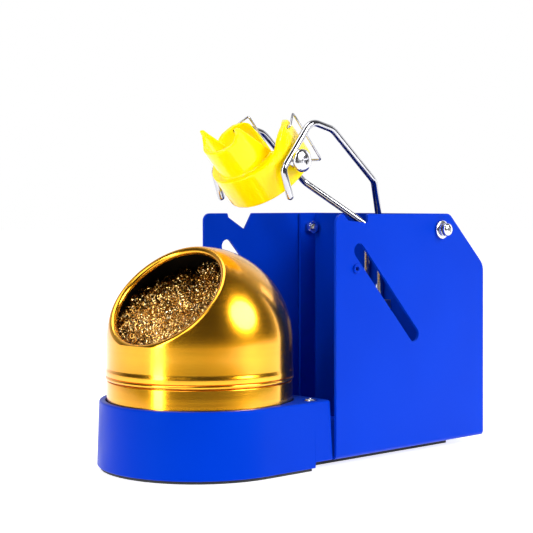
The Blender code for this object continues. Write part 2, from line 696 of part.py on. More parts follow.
def build_wool(brass):
    """The brass wool as a plain solid: it fills the cup and slopes up behind the opening."""
    low = TRAY_FLOOR + TRAY_FLOOR_THICK + CUP_WALL + 2 * GAP
    side = CUP_RADIUS - CUP_WALL - DOME_WALL - 1.1 * MM
    dome_side = DOME_RADIUS - DOME_WALL - 2.5 * MM
    profile = [(0.0, low), (side - 3 * MM, low), (side, low + 4 * MM), (side, DOME_CENTRE_Z)]
    for a in angles(15, 75, 4):
        profile.append((dome_side * math.cos(a), DOME_CENTRE_Z + dome_side * math.sin(a)))
    profile.append((0.0, DOME_CENTRE_Z + dome_side))
    wool = turned_at_cleaner("cleaning_wool", profile, brass, 36)
    lean = math.radians(62)
    flat = Vector((-math.cos(MOUTH_TURN), -math.sin(MOUTH_TURN), 0.0))
    normal = flat * math.cos(lean) + Vector((0, 0, math.sin(lean)))
    centre = Vector((CLEANER_X, 0.0, DOME_CENTRE_Z))
    cut(wool, half_space("cut_wool_top", centre + mouth_axis() * 17.5 * MM, normal))
    return wool


def tray_outline(inset):
    """Half round towards -X, straight sides, square back end with small corners, as X and Y."""
    radius = TRAY_RADIUS - inset
    right = TRAY_RIGHT - inset
    corner = 2.0 * MM
    points = arc((CLEANER_X, 0.0), radius, 90, 270, 36)
    points += arc((right - corner, -radius + corner), corner, -90, 0, 4)
    points += arc((right - corner, radius - corner), corner, 0, 90, 4)
    return points


def build_tray(paint):
    draft = 0.8 * MM
    easing = 0.6 * MM
    tray_mesh = prism(tray_outline(0.0), TRAY_BOTTOM, TRAY_TOP, place_xy, tray_outline(draft))
    tray = add_object("cleaner_tray", mesh_from(tray_mesh, "cleaner_tray"), paint)

    # the round well bulges past the back end, over the stand's floor
    bulge = round_rod(WELL_RADIUS + WELL_WALL, TRAY_FLOOR, TRAY_TOP - easing, 56)
    bulge.transform(Matrix.Translation((CLEANER_X, 0.0, 0.0)))
    apply_boolean(tray, cutter("well_bulge", bulge), "UNION")
    well = round_rod(WELL_RADIUS, TRAY_FLOOR + TRAY_FLOOR_THICK, TRAY_TOP + 5 * MM, 56)
    well.transform(Matrix.Translation((CLEANER_X, 0.0, 0.0)))
    cut(tray, cutter("cut_well", well))

    # the skirt is open below, and raised where the stand's mat and tongue pass
    cut(tray, cutter("cut_under_tray", prism(tray_outline(2.6 * MM), 0.0, TRAY_FLOOR, place_xy)))
    raised = [(RAISED_SKIRT, -0.06), (0.01, -0.06), (0.01, 0.06), (RAISED_SKIRT, 0.06)]
    cut(tray, cutter("cut_raised_skirt", prism(raised, 0.0, STAND_BOTTOM + GAP, place_xy)))
    back = [(RAISED_SKIRT, -TONGUE_HALF_WIDTH - 0.6 * MM), (0.01, -TONGUE_HALF_WIDTH - 0.6 * MM)]
    back += [(0.01, TONGUE_HALF_WIDTH + 0.6 * MM), (RAISED_SKIRT, TONGUE_HALF_WIDTH + 0.6 * MM)]
    cut(tray, cutter("cut_tongue_way", prism(back, 0.0, TRAY_FLOOR, place_xy)))
    for side in (-1, 1):
        hole = round_rod(1.8 * MM, 0.0, 0.04, 12)
        hole.transform(Matrix.Translation((TRAY_SCREW[0], side * TRAY_SCREW[1], 0.0)))
        cut(tray, cutter(f"cut_tray_hole_{side + 1}", hole))
        seat = round_rod(3.2 * MM, TRAY_TOP - 1.6 * MM, 0.04, 20)
        seat.transform(Matrix.Translation((TRAY_SCREW[0], side * TRAY_SCREW[1], 0.0)))
        cut(tray, cutter(f"cut_tray_seat_{side + 1}", seat))
    return tray


def build_tray_fasteners(steel):
    for side, label in ((-1, "near"), (1, "far")):
        head = TRAY_TOP - 1.6 * MM + GAP
        place = Vector((TRAY_SCREW[0], side * TRAY_SCREW[1], head))
        length = head - STAND_BOTTOM - 0.2 * MM
        fastener(f"tray_screw_{label}", pan_head_screw(M3, length), place, Vector((0, 0, 1)), steel)


def build_tray_pad(rubber):
    outline = arc((CLEANER_X, 0.0), TRAY_RADIUS - 1.2 * MM, 90, 270, 28)
    right = RAISED_SKIRT - 1.0 * MM
    outline += [(right, -TRAY_RADIUS + 1.2 * MM), (right, TRAY_RADIUS - 1.2 * MM)]
    mesh = mesh_from(prism(outline, 0.0, TRAY_BOTTOM - GAP, place_xy), "tray_pad")
    return add_object("tray_pad", mesh, rubber)


# ---------------------------------------------------------------------------------------
def main():
    clear_scene()
    blue = make_material("blue paint", (0.0, 0.06, 0.62), 0.35)
    yellow = make_material("yellow plastic", (1.0, 0.72, 0.0), 0.25)
    gold = make_material("gold anodised", (0.85, 0.55, 0.08), 0.22, 1.0)
    brass = make_material("brass wool", (0.62, 0.45, 0.16), 0.35, 1.0)
    steel = make_material("bright steel", (0.65, 0.65, 0.67), 0.18, 1.0)
    zinc = make_material("plated zinc", (0.5, 0.5, 0.52), 0.4, 1.0)
    rubber = make_material("black rubber", (0.02, 0.02, 0.02), 0.8)

    build_stand(blue)
    build_mat(rubber)
    build_end_panel(blue)
    build_panel_fasteners(steel)
    build_arms(steel)
    build_clamp(zinc, steel)

    frame = bpy.data.objects.new("receptacle_frame", None)
    bpy.context.scene.collection.objects.link(frame)
    frame.location = PIVOT
    frame.rotation_euler = (0.0, IRON_SLOPE, 0.0)
    build_receptacle(yellow, frame)
    build_bail(steel, frame)
    build_pivot_fasteners(steel)

    build_tray(blue)
    build_tray_fasteners(steel)
    build_tray_pad(rubber)
    build_cup(gold)
    build_wool(brass)
    build_dome(gold)


main()
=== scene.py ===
import json
import math

import bmesh
import bpy
import numpy as np
from mathutils import Matrix, Vector


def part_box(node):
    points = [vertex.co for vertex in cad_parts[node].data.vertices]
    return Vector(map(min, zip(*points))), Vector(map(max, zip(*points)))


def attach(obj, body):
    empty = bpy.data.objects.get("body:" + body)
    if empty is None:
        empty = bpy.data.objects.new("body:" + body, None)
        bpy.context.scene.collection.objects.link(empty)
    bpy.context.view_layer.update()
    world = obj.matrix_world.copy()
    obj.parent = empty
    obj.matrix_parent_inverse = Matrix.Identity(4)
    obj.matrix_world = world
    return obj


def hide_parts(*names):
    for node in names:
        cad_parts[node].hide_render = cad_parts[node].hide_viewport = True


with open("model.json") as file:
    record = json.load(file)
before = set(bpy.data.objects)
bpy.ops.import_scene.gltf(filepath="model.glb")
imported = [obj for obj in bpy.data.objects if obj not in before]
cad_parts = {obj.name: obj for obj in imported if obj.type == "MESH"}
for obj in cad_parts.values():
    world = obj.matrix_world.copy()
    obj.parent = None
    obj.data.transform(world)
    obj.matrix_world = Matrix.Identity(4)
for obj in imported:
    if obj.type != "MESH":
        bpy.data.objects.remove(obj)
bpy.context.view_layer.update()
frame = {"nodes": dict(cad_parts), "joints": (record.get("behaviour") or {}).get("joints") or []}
nodes = frame["nodes"]
joints = {joint["name"]: joint for joint in frame["joints"]}
mm = 0.001
print("frame loaded,", len(nodes), "nodes")

# the places that everything below hangs on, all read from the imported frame
standLow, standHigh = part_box("stand")
panelLow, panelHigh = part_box("end_panel")
trayLow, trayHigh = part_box("cleaner_tray")
cupLow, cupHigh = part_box("cleaner_cup")
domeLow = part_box("cleaner_dome")[0]
pivot = Vector(joints["receptacle_tilt"]["pos_m"])
cleanerAxis = Vector(joints["cleaner_turn"]["pos_m"])
ironSlope = math.radians(47)
ironFrame = Matrix.Translation(pivot) @ Matrix.Rotation(ironSlope, 4, "Y")


# the camera's place and lens, the lamps, and the room round the object
cameraSettings = {
    "place": (-0.4126, -0.449, 0.1082),
    "towards": (0.670, 0.742, 0.0),
    "lens": 94.56,
    "sensor": 36,
    "shiftY": -0.118,
    "nearestSeen": 0.05,
}
lightSettings = {
    # direction from the cleaner as right, up, towards the camera; distance, width, height, watts, outline
    "keySoftbox": ((0.66, 0.40, 0.36), 0.90, 0.50, 0.50, 8.0, "ELLIPSE"),
    "leftStrip": ((-0.74, 0.12, 0.68), 0.80, 0.16, 0.55, 3.2, "RECTANGLE"),
    "topSoftbox": ((-0.25, 1.0, -0.05), 1.00, 0.60, 0.60, 4.0, "RECTANGLE"),
    "frontFill": ((-0.45, 0.75, 0.80), 1.60, 0.80, 0.80, 6.5, "RECTANGLE"),
    "rightEdge": ((0.95, 0.25, -0.55), 0.90, 0.30, 0.70, 1.0, "RECTANGLE"),
}
roomSettings = {
    "lampAim": (0.03, 0.055),            # past the cleaner's axis, and above the table
    "darkUntil": 0.58,                   # 0 lies straight towards the camera, 1 straight away from it
    "paleFrom": 0.88,
    "dark": (0.05, 0.05, 0.055, 1),
    "pale": (0.85, 0.85, 0.87, 1),
    "backdrop": (1, 1, 1, 1),
    "tableDrop": 0.2 * mm,
    # right and ahead; the table ends just in front, so the gold reflects a dark room above it
    "tableCorners": ((-4.0, -0.40), (4.0, -0.40), (4.0, 5.0), (-4.0, 5.0)),
}
viewForward = Vector(cameraSettings["towards"]).normalized()
viewRight = viewForward.cross(Vector((0, 0, 1)))


def makeCamera():
    data = bpy.data.cameras.new("studioCamera")
    data.lens = cameraSettings["lens"]
    data.sensor_width = cameraSettings["sensor"]
    data.shift_y = cameraSettings["shiftY"]
    data.clip_start = cameraSettings["nearestSeen"]
    camera = bpy.data.objects.new("studioCamera", data)
    camera.location = cameraSettings["place"]
    camera.rotation_euler = Vector(cameraSettings["towards"]).to_track_quat("-Z", "Y").to_euler()
    bpy.context.scene.collection.objects.link(camera)
    bpy.context.scene.camera = camera


def makeLamps():
    behind, above = roomSettings["lampAim"]
    centre = Vector((cleanerAxis.x + behind, 0, above))
    for name, (direction, distance, width, height, watts, outline) in lightSettings.items():
        across, up, near = direction
        aim = (viewRight * across + Vector((0, 0, up)) - viewForward * near).normalized()
        data = bpy.data.lights.new(name, "AREA")
        data.shape = outline
        data.size = width
        data.size_y = height
        data.energy = watts
        lamp = bpy.data.objects.new(name, data)
        lamp.location = centre + aim * distance
        lamp.rotation_euler = aim.to_track_quat("Z", "Y").to_euler()
        bpy.context.scene.collection.objects.link(lamp)


def makeRoom():
    # dark on the camera's side and pale behind the object, while the camera itself sees plain white
    world = bpy.data.worlds.new("studio")
    bpy.context.scene.world = world
    world.use_nodes = True
    tree = world.node_tree
    tree.nodes.clear()
    kinds = ["OutputWorld", "Background", "Background", "LightPath", "MixShader"]
    kinds += ["TexCoord", "VectorMath", "MapRange", "ValToRGB"]
    made = [tree.nodes.new("ShaderNode" + kind) for kind in kinds]
    out, seen, lit, path, mix, coords, facing, remap, ramp = made
    seen.inputs["Color"].default_value = roomSettings["backdrop"]
    facing.operation = "DOT_PRODUCT"
    facing.inputs[1].default_value = viewForward
    remap.inputs["From Min"].default_value = -1
    darkEnd, paleEnd = ramp.color_ramp.elements
    darkEnd.position = roomSettings["darkUntil"]
    darkEnd.color = roomSettings["dark"]
    paleEnd.position = roomSettings["paleFrom"]
    paleEnd.color = roomSettings["pale"]
    links = (
        (coords.outputs["Generated"], facing.inputs[0]),
        (facing.outputs["Value"], remap.inputs["Value"]),
        (remap.outputs["Result"], ramp.inputs["Fac"]),
        (ramp.outputs["Color"], lit.inputs["Color"]),
        (path.outputs["Is Camera Ray"], mix.inputs["Fac"]),
        (lit.outputs[0], mix.inputs[1]),
        (seen.outputs[0], mix.inputs[2]),
        (mix.outputs[0], out.inputs["Surface"]),
    )
    for source, target in links:
        tree.links.new(source, target)

    view = bpy.context.scene.view_settings
    view.view_transform = "Standard"
    view.look = "None"
    view.exposure = 0.0


def makeFloor():
    centre = Vector((cleanerAxis.x, 0, -roomSettings["tableDrop"]))
    bm = bmesh.new()
    corners = []
    for across, ahead in roomSettings["tableCorners"]:
        corners.append(bm.verts.new(centre + viewRight * across + viewForward * ahead))
    bm.faces.new(corners)
    floor = addPiece("paleFloor", bm, whiteSweep())


# the steps that the pieces below share
def addPiece(name, bm, material, smooth=None):
    mesh = bpy.data.meshes.new(name)
    bm.to_mesh(mesh)
    bm.free()
    if smooth is not None:
        mesh.shade_smooth()
        mesh.set_sharp_from_angle(angle=math.radians(smooth))
    mesh.materials.append(material)
    piece = bpy.data.objects.new(name, mesh)
    bpy.context.scene.collection.objects.link(piece)
    return piece


def finishPiece(piece, body, replaced):
    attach(piece, body)
    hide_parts(replaced)


def applied(piece):
    # keeps the shape that the modifiers make, and drops the modifiers
    graph = bpy.context.evaluated_depsgraph_get()
    mesh = bpy.data.meshes.new_from_object(piece.evaluated_get(graph))
    piece.modifiers.clear()
    piece.data = mesh


def removePiece(piece):
    bpy.data.objects.remove(piece, do_unlink=True)


def arcPoints(centre, radius, start, end, steps):
    turns = [math.radians(start + (end - start) * i / steps) for i in range(steps + 1)]
    return [(centre[0] + radius * math.cos(a), centre[1] + radius * math.sin(a)) for a in turns]


def cornerArc(before, corner, after, radius, steps):
    # the arc that touches both sides of a corner, on a sheet or in space
    back = (before - corner).normalized()
    ahead = (after - corner).normalized()
    half = back.angle(ahead) / 2
    reach = radius / math.tan(half)
    centre = corner + (back + ahead).normalized() * radius / math.sin(half)
    first = corner + back * reach - centre
    last = corner + ahead * reach - centre
    sweep = first.angle(last)
    points = []
    for i in range(steps + 1):
        t = i / steps
        spoke = (math.sin((1 - t) * sweep) * first + math.sin(t * sweep) * last) / math.sin(sweep)
        points.append(centre + spoke)
    return points


def roundedCorners(corners, steps=8):
    # corners are (x, y, radius), and one without a radius stays sharp
    places = [Vector((x, y)) for x, y, radius in corners]
    outline = []
    for i, (x, y, radius) in enumerate(corners):
        if radius == 0:
            outline.append((x, y))
            continue
        after = places[(i + 1) % len(places)]
        outline += [tuple(point) for point in cornerArc(places[i - 1], places[i], after, radius, steps)]
    return outline


def roundedRoute(corners, radii, steps):
    # one radius for each corner between the two ends
    route = [corners[0]]
    for before, corner, after, radius in zip(corners, corners[1:], corners[2:], radii):
        route += cornerArc(before, corner, after, radius, steps)
    return route + [corners[-1]]


def joinRings(bm, rings, closed=False):
    pairs = list(zip(rings, rings[1:]))
    if closed:
        pairs.append((rings[-1], rings[0]))
    for lower, upper in pairs:
        count = max(len(lower), len(upper))
        for i in range(count):
            j = (i + 1) % count
            if len(lower) == 1:
                bm.faces.new((lower[0], upper[i], upper[j]))
            elif len(upper) == 1:
                bm.faces.new((lower[i], upper[0], lower[j]))
            else:
                bm.faces.new((lower[i], lower[j], upper[j], upper[i]))


def ringAround(bm, radius, height, steps, centre=(0.0, 0.0)):
    x, y = centre
    turns = [2 * math.pi * i / steps for i in range(steps)]
    return [bm.verts.new((x + radius * math.cos(a), y + radius * math.sin(a), height)) for a in turns]


def turnedMesh(profile, steps, centre=(0.0, 0.0)):
    # profile is (radius, height); one that starts on the axis makes a plug, any other a ring
    bm = bmesh.new()
    rings = []
    for radius, height in profile:
        if radius <= 0:
            rings.append([bm.verts.new((centre[0], centre[1], height))])
        else:
            rings.append(ringAround(bm, radius, height, steps, centre))
    joinRings(bm, rings, closed=profile[0][0] > 0)
    bmesh.ops.recalc_face_normals(bm, faces=bm.faces)
    return bm


def prismMesh(outline, low, high, place):
    bm = bmesh.new()
    first = [bm.verts.new(place(a, b, low)) for a, b in outline]
    second = [bm.verts.new(place(a, b, high)) for a, b in outline]
    joinRings(bm, [first, second])
    bm.faces.new(first[::-1])
    bm.faces.new(second)
    bmesh.ops.recalc_face_normals(bm, faces=bm.faces)
    return bm


def sweptWire(name, route, radius, material, sides, domeSteps=5):
    # a round wire with domed ends, carried along the route without twisting
    bm = bmesh.new()
    tangents = []
    for i in range(len(route)):
        ahead = route[min(i + 1, len(route) - 1)] - route[max(i - 1, 0)]
        tangents.append(ahead.normalized())

    def ringAt(centre, tangent, spoke, size):
        other = tangent.cross(spoke)
        ring = []
        for k in range(sides):
            turn = 2 * math.pi * k / sides
            ring.append(bm.verts.new(centre + (spoke * math.cos(turn) + other * math.sin(turn)) * size))
        return ring

    def domeRing(tip, inward, tangent, spoke, k):
        turn = math.radians(90 * k / domeSteps)
        centre = tip + inward * radius * (1 - math.cos(turn))
        return ringAt(centre, tangent, spoke, radius * math.sin(turn))

    side = tangents[0].orthogonal().normalized()
    rings = []
    for i, (centre, tangent) in enumerate(zip(route, tangents)):
        side = (side - tangent * side.dot(tangent)).normalized()
        if i == 0:
            rings.append([bm.verts.new(centre)])
            rings += [domeRing(centre, tangent, tangent, side, k) for k in range(1, domeSteps + 1)]
        elif i == len(route) - 1:
            rings += [domeRing(centre, -tangent, tangent, side, k) for k in range(domeSteps, 0, -1)]
            rings.append([bm.verts.new(centre)])
        else:
            rings.append(ringAt(centre, tangent, side, radius))
    joinRings(bm, rings)
    bmesh.ops.recalc_face_normals(bm, faces=bm.faces)
    return addPiece(name, bm, material, smooth=50)


def booleanWith(piece, tool, operation):
    modifier = piece.modifiers.new(operation.lower(), "BOOLEAN")
    modifier.operation = operation
    modifier.solver = "EXACT"
    modifier.object = tool
    applied(piece)
    removePiece(tool)


def aimed(bm, origin, direction):
    turn = Vector((0, 0, 1)).rotation_difference(direction).to_matrix().to_4x4()
    bm.transform(Matrix.Translation(origin) @ turn)
    return bm


# finishes
class Shader:
    # a small wrapper, so that each finish below reads as a list of what it is made of
    def __init__(self, name, colour, roughness, metallic=0.0):
        self.material = bpy.data.materials.new(name)
        self.material.use_nodes = True
        self.tree = self.material.node_tree
        self.skin = self.tree.nodes["Principled BSDF"]
        self.set(Base_Color=(*colour, 1), Roughness=roughness, Metallic=metallic)
        self.place = self.add("TexCoord").outputs["Object"]

    def add(self, kind):
        return self.tree.nodes.new("ShaderNode" + kind)

    def link(self, source, target):
        self.tree.links.new(source, target)

    def set(self, **values):
        for key, value in values.items():
            self.skin.inputs[key.replace("_", " ")].default_value = value

    def noise(self, scale, detail=3.0, place=None):
        node = self.add("TexNoise")
        node.inputs["Scale"].default_value = scale
        node.inputs["Detail"].default_value = detail
        self.link(place or self.place, node.inputs["Vector"])
        return node.outputs["Fac"]

    def between(self, value, low, high, fromLow=0.3, fromHigh=0.7):
        node = self.add("MapRange")
        for key, limit in (("From Min", fromLow), ("From Max", fromHigh), ("To Min", low), ("To Max", high)):
            node.inputs[key].default_value = limit
        self.link(value, node.inputs["Value"])
        return node.outputs["Result"]

    def ramp(self, value, *stops):
        node = self.add("ValToRGB")
        elements = node.color_ramp.elements
        while len(elements) < len(stops):
            elements.new(0.5)
        for element, (position, colour) in zip(elements, stops):
            element.position = position
            element.color = (*colour, 1)
        self.link(value, node.inputs["Fac"])
        return node.outputs["Color"]

    def mix(self, factor, first, second):
        node = self.add("Mix")
        node.data_type = "RGBA"

        def socket(key):
            return next(s for s in node.inputs if s.name == key and s.enabled)

        self.link(factor, socket("Factor"))
        socket("A").default_value = (*first, 1)
        socket("B").default_value = (*second, 1)
        return next(s for s in node.outputs if s.enabled)

    def bump(self, value, strength, depth):
        # a second bump lies on top of the first
        node = self.add("Bump")
        node.inputs["Strength"].default_value = strength
        node.inputs["Distance"].default_value = depth
        self.link(value, node.inputs["Height"])
        normal = self.skin.inputs["Normal"]
        if normal.is_linked:
            self.link(normal.links[0].from_socket, node.inputs["Normal"])
        self.link(node.outputs["Normal"], normal)

    def colour(self, value):
        self.link(value, self.skin.inputs["Base Color"])

    def rough(self, value):
        self.link(value, self.skin.inputs["Roughness"])

    def edges(self):
        # 0 on flat metal, 1 on its outer edges
        node = self.add("NewGeometry")
        return self.between(node.outputs["Pointiness"], 0.0, 1.0, 0.52, 0.60)


def whiteSweep():
    look = Shader("whiteSweep", (0.62, 0.62, 0.63), 0.55)
    look.set(Emission_Color=(1, 1, 1, 1), Emission_Strength=0.80)
    look.rough(look.between(look.noise(40), 0.5, 0.6))
    return look.material


def satinBluePaint():
    # powder-coated steel: fine grain in the gloss, and a highlight that stays blue
    look = Shader("satinBluePaint", (0.0, 0.033, 0.48), 0.36)
    look.colour(look.ramp(look.noise(14, 2), (0.3, (0.0, 0.030, 0.45)), (0.7, (0.0, 0.036, 0.51))))
    look.rough(look.between(look.noise(70, 4), 0.34, 0.44))
    look.bump(look.noise(900, 3), 0.10, 0.06 * mm)
    look.bump(look.noise(160, 2), 0.06, 0.10 * mm)
    look.set(Specular_IOR_Level=0.14, Specular_Tint=(0.02, 0.25, 1.0, 1))
    return look.material


def paintedEdgeHighlight():
    # the same paint in a much paler blue on the rounded edges: a painted highlight along each edge
    look = Shader("paintedEdgeHighlight", (0.02, 0.18, 0.95), 0.30)
    look.rough(look.between(look.noise(70, 4), 0.28, 0.38))
    look.colour(look.ramp(look.noise(20), (0.3, (0.02, 0.16, 0.90)), (0.7, (0.03, 0.22, 1.0))))
    look.bump(look.noise(900, 3), 0.10, 0.06 * mm)
    return look.material


def spunGold():
    # clear gold anodise over spun aluminium: the tool marks run round the turning axis
    look = Shader("spunGold", (0.97, 0.45, 0.03), 0.22, 1.0)
    offset = look.add("VectorMath")
    offset.operation = "SUBTRACT"
    offset.inputs[1].default_value = (cleanerAxis.x, 0, 0)
    length = look.add("VectorMath")
    length.operation = "LENGTH"
    parts = look.add("SeparateXYZ")
    flat = look.add("CombineXYZ")
    rings = look.add("CombineXYZ")
    look.link(look.place, offset.inputs[0])
    look.link(offset.outputs[0], parts.inputs[0])
    look.link(parts.outputs["X"], flat.inputs["X"])
    look.link(parts.outputs["Y"], flat.inputs["Y"])
    look.link(flat.outputs[0], length.inputs[0])
    look.link(length.outputs["Value"], rings.inputs["X"])
    look.link(parts.outputs["Z"], rings.inputs["Y"])
    toolMarks = look.noise(1500, 4, rings.outputs[0])
    look.colour(look.ramp(look.noise(45, 3), (0.3, (1.0, 0.42, 0.012)), (0.7, (1.0, 0.49, 0.022))))
    look.rough(look.between(toolMarks, 0.20, 0.25))
    look.bump(toolMarks, 0.015, 0.03 * mm)
    look.bump(look.noise(260, 3, rings.outputs[0]), 0.012, 0.08 * mm)
    tangent = look.add("Tangent")
    tangent.direction_type = "RADIAL"
    tangent.axis = "Z"
    look.link(tangent.outputs[0], look.skin.inputs["Tangent"])
    look.set(Anisotropic=0.4, Anisotropic_Rotation=0.25, Coat_Weight=0.5, Coat_Roughness=0.10)
    return look.material


def paintedShadeLining():
    # the inside of the dome, coloured near black as painted shade
    look = Shader("paintedShadeLining", (0.006, 0.004, 0.002), 0.7)
    look.set(Specular_IOR_Level=0.25)
    look.colour(look.ramp(look.noise(60, 4), (0.35, (0.003, 0.002, 0.001)), (0.7, (0.014, 0.008, 0.003))))
    look.bump(look.noise(400), 0.2, 0.1 * mm)
    return look.material


def mouldedYellow():
    # glossy heat-proof plastic that lets a little light through, with a faint painted glow on top
    look = Shader("mouldedYellow", (1.0, 0.78, 0.0), 0.20)
    look.colour(look.ramp(look.noise(35, 3), (0.3, (1.0, 0.66, 0.0)), (0.7, (1.0, 0.74, 0.0))))
    look.rough(look.between(look.noise(120, 3), 0.17, 0.27))
    look.bump(look.noise(500, 2), 0.04, 0.05 * mm)
    look.set(Subsurface_Weight=0.55, Subsurface_Scale=4 * mm, Subsurface_Radius=(1.0, 0.75, 0.10))
    look.set(Coat_Weight=0.30, Coat_Roughness=0.06, Specular_Tint=(1.0, 0.85, 0.25, 1))
    # a faint painted glow: the plastic gives off light of its own
    look.set(Emission_Color=(1.0, 0.66, 0.0, 1), Emission_Strength=0.10)
    return look.material


def brightWire():
    # drawn wire, polished and plated, with faint draw marks
    look = Shader("brightWire", (0.50, 0.50, 0.53), 0.12, 1.0)
    look.rough(look.between(look.noise(220, 3), 0.07, 0.18))
    look.colour(look.ramp(look.noise(90), (0.3, (0.44, 0.44, 0.47)), (0.7, (0.56, 0.56, 0.59))))
    look.bump(look.noise(700, 3), 0.05, 0.04 * mm)
    return look.material


def turnedSteel():
    # plated screws and washers, paler on their edges
    look = Shader("turnedSteel", (0.76, 0.76, 0.78), 0.18, 1.0)
    look.rough(look.between(look.noise(500, 3), 0.12, 0.26))
    look.colour(look.mix(look.edges(), (0.70, 0.70, 0.73), (0.92, 0.92, 0.93)))
    look.bump(look.noise(1400, 3), 0.10, 0.03 * mm)
    return look.material


def castZinc():
    look = Shader("castZinc", (0.46, 0.46, 0.48), 0.45, 1.0)
    look.rough(look.between(look.noise(300, 4), 0.38, 0.58))
    look.bump(look.noise(900, 3), 0.25, 0.06 * mm)
    return look.material


def mattRubber():
    look = Shader("mattRubber", (0.018, 0.018, 0.020), 0.72)
    look.rough(look.between(look.noise(260, 3), 0.62, 0.82))
    look.colour(look.ramp(look.noise(80), (0.3, (0.012, 0.012, 0.013)), (0.7, (0.026, 0.026, 0.028))))
    look.bump(look.noise(1200, 2), 0.35, 0.10 * mm)
    return look.material


def curledBrass():
    # each curl takes its own shade, from smoky brown to bright brass
    look = Shader("curledBrass", (0.85, 0.60, 0.22), 0.26, 1.0)
    island = look.add("NewGeometry").outputs["Random Per Island"]
    shades = [(0.0, (0.50, 0.24, 0.04)), (0.35, (0.86, 0.50, 0.12))]
    shades += [(0.75, (1.0, 0.70, 0.26)), (1.0, (1.0, 0.84, 0.50))]
    look.colour(look.ramp(island, *shades))
    look.rough(look.between(look.noise(900, 2), 0.14, 0.30))
    look.bump(look.noise(3000, 2), 0.10, 0.03 * mm)
    return look.material


def brassPaintedShade():
    # the wool's heart in a dark brass: painted shade for the depths under the curls
    look = Shader("brassPaintedShade", (0.10, 0.055, 0.012), 0.55, 0.7)
    look.colour(look.ramp(look.noise(900, 3), (0.4, (0.020, 0.010, 0.002)), (0.65, (0.22, 0.13, 0.03))))
    look.bump(look.noise(900, 3), 0.8, 0.5 * mm)
    return look.material


makeCamera()
makeLamps()
makeRoom()
makeFloor()
bluePaint = satinBluePaint()
blueEdgeHighlight = paintedEdgeHighlight()
goldSkin = spunGold()
liningShade = paintedShadeLining()
yellowPlastic = mouldedYellow()
wirePlating = brightWire()
screwPlating = turnedSteel()
zincCasting = castZinc()
blackRubber = mattRubber()
brassCurl = curledBrass()
woolHeartShade = brassPaintedShade()
print("camera, studio and finishes ready")


# folded sheets: the flat blank is drawn, its fold zones are divided, and it is bent over
sheetSettings = {
    "thickness": 1.2 * mm,
    "foldRadius": 2.0 * mm,              # outside
    "foldSteps": 8,
    "edgeRound": 0.42 * mm,
    "edgeAngle": 50,                     # sharper edges than this are rounded
    "smoothAngle": 40,
    "weld": 0.001 * mm,
}
foldLength = sheetSettings["foldRadius"] * math.pi / 2


def flatBlank(outline, holes):
    curve = bpy.data.curves.new("blank", "CURVE")
    curve.dimensions = "2D"
    curve.fill_mode = "BOTH"
    for loop in [outline] + holes:
        spline = curve.splines.new("POLY")
        spline.points.add(len(loop) - 1)
        for point, (a, b) in zip(spline.points, loop):
            point.co = (a, b, 0, 1)
        spline.use_cyclic_u = True
    holder = bpy.data.objects.new("blank", curve)
    bpy.context.scene.collection.objects.link(holder)
    graph = bpy.context.evaluated_depsgraph_get()
    mesh = bpy.data.meshes.new_from_object(holder.evaluated_get(graph))
    bm = bmesh.new()
    bm.from_mesh(mesh)
    removePiece(holder)
    bmesh.ops.remove_doubles(bm, verts=bm.verts, dist=sheetSettings["weld"])
    return bm


def foldedSheet(name, outline, holes, foldAxis, foldStart, bend, outward, material):
    bm = flatBlank(outline, holes)
    steps = sheetSettings["foldSteps"]
    snap = sheetSettings["weld"] / 2
    normal = Vector((1, 0, 0)) if foldAxis == 0 else Vector((0, 1, 0))
    for side in (-1, 1):
        for k in range(steps + 1):
            at = normal * side * (foldStart + foldLength * k / steps)
            geometry = list(bm.verts) + list(bm.edges) + list(bm.faces)
            bmesh.ops.bisect_plane(bm, geom=geometry, plane_co=at, plane_no=normal, dist=snap)
    for vert in bm.verts:
        vert.co = bend(vert.co.x, vert.co.y)
    bmesh.ops.recalc_face_normals(bm, faces=bm.faces)
    biggest = max(bm.faces, key=lambda face: face.calc_area())
    if biggest.normal.dot(outward(biggest.calc_center_median())) < 0:
        bmesh.ops.reverse_faces(bm, faces=bm.faces)
    piece = addPiece(name, bm, material, smooth=sheetSettings["smoothAngle"])
    solid = piece.modifiers.new("thickness", "SOLIDIFY")
    solid.thickness = sheetSettings["thickness"]
    solid.offset = -1
    solid.use_even_offset = True
    rounding = piece.modifiers.new("rounded edges", "BEVEL")
    rounding.width = sheetSettings["edgeRound"]
    rounding.segments = 3
    rounding.limit_method = "ANGLE"
    rounding.angle_limit = math.radians(sheetSettings["edgeAngle"])
    rounding.material = 1                # the paler blue of the painted edge highlight
    piece.data.materials.append(blueEdgeHighlight)
    weighted = piece.modifiers.new("weighted normals", "WEIGHTED_NORMAL")
    weighted.keep_sharp = False
    weighted.weight = 90
    return piece


def circlePoints(x, y, radius, steps=40):
    return arcPoints((x, y), radius, 0, 360 - 360 / steps, steps - 1)


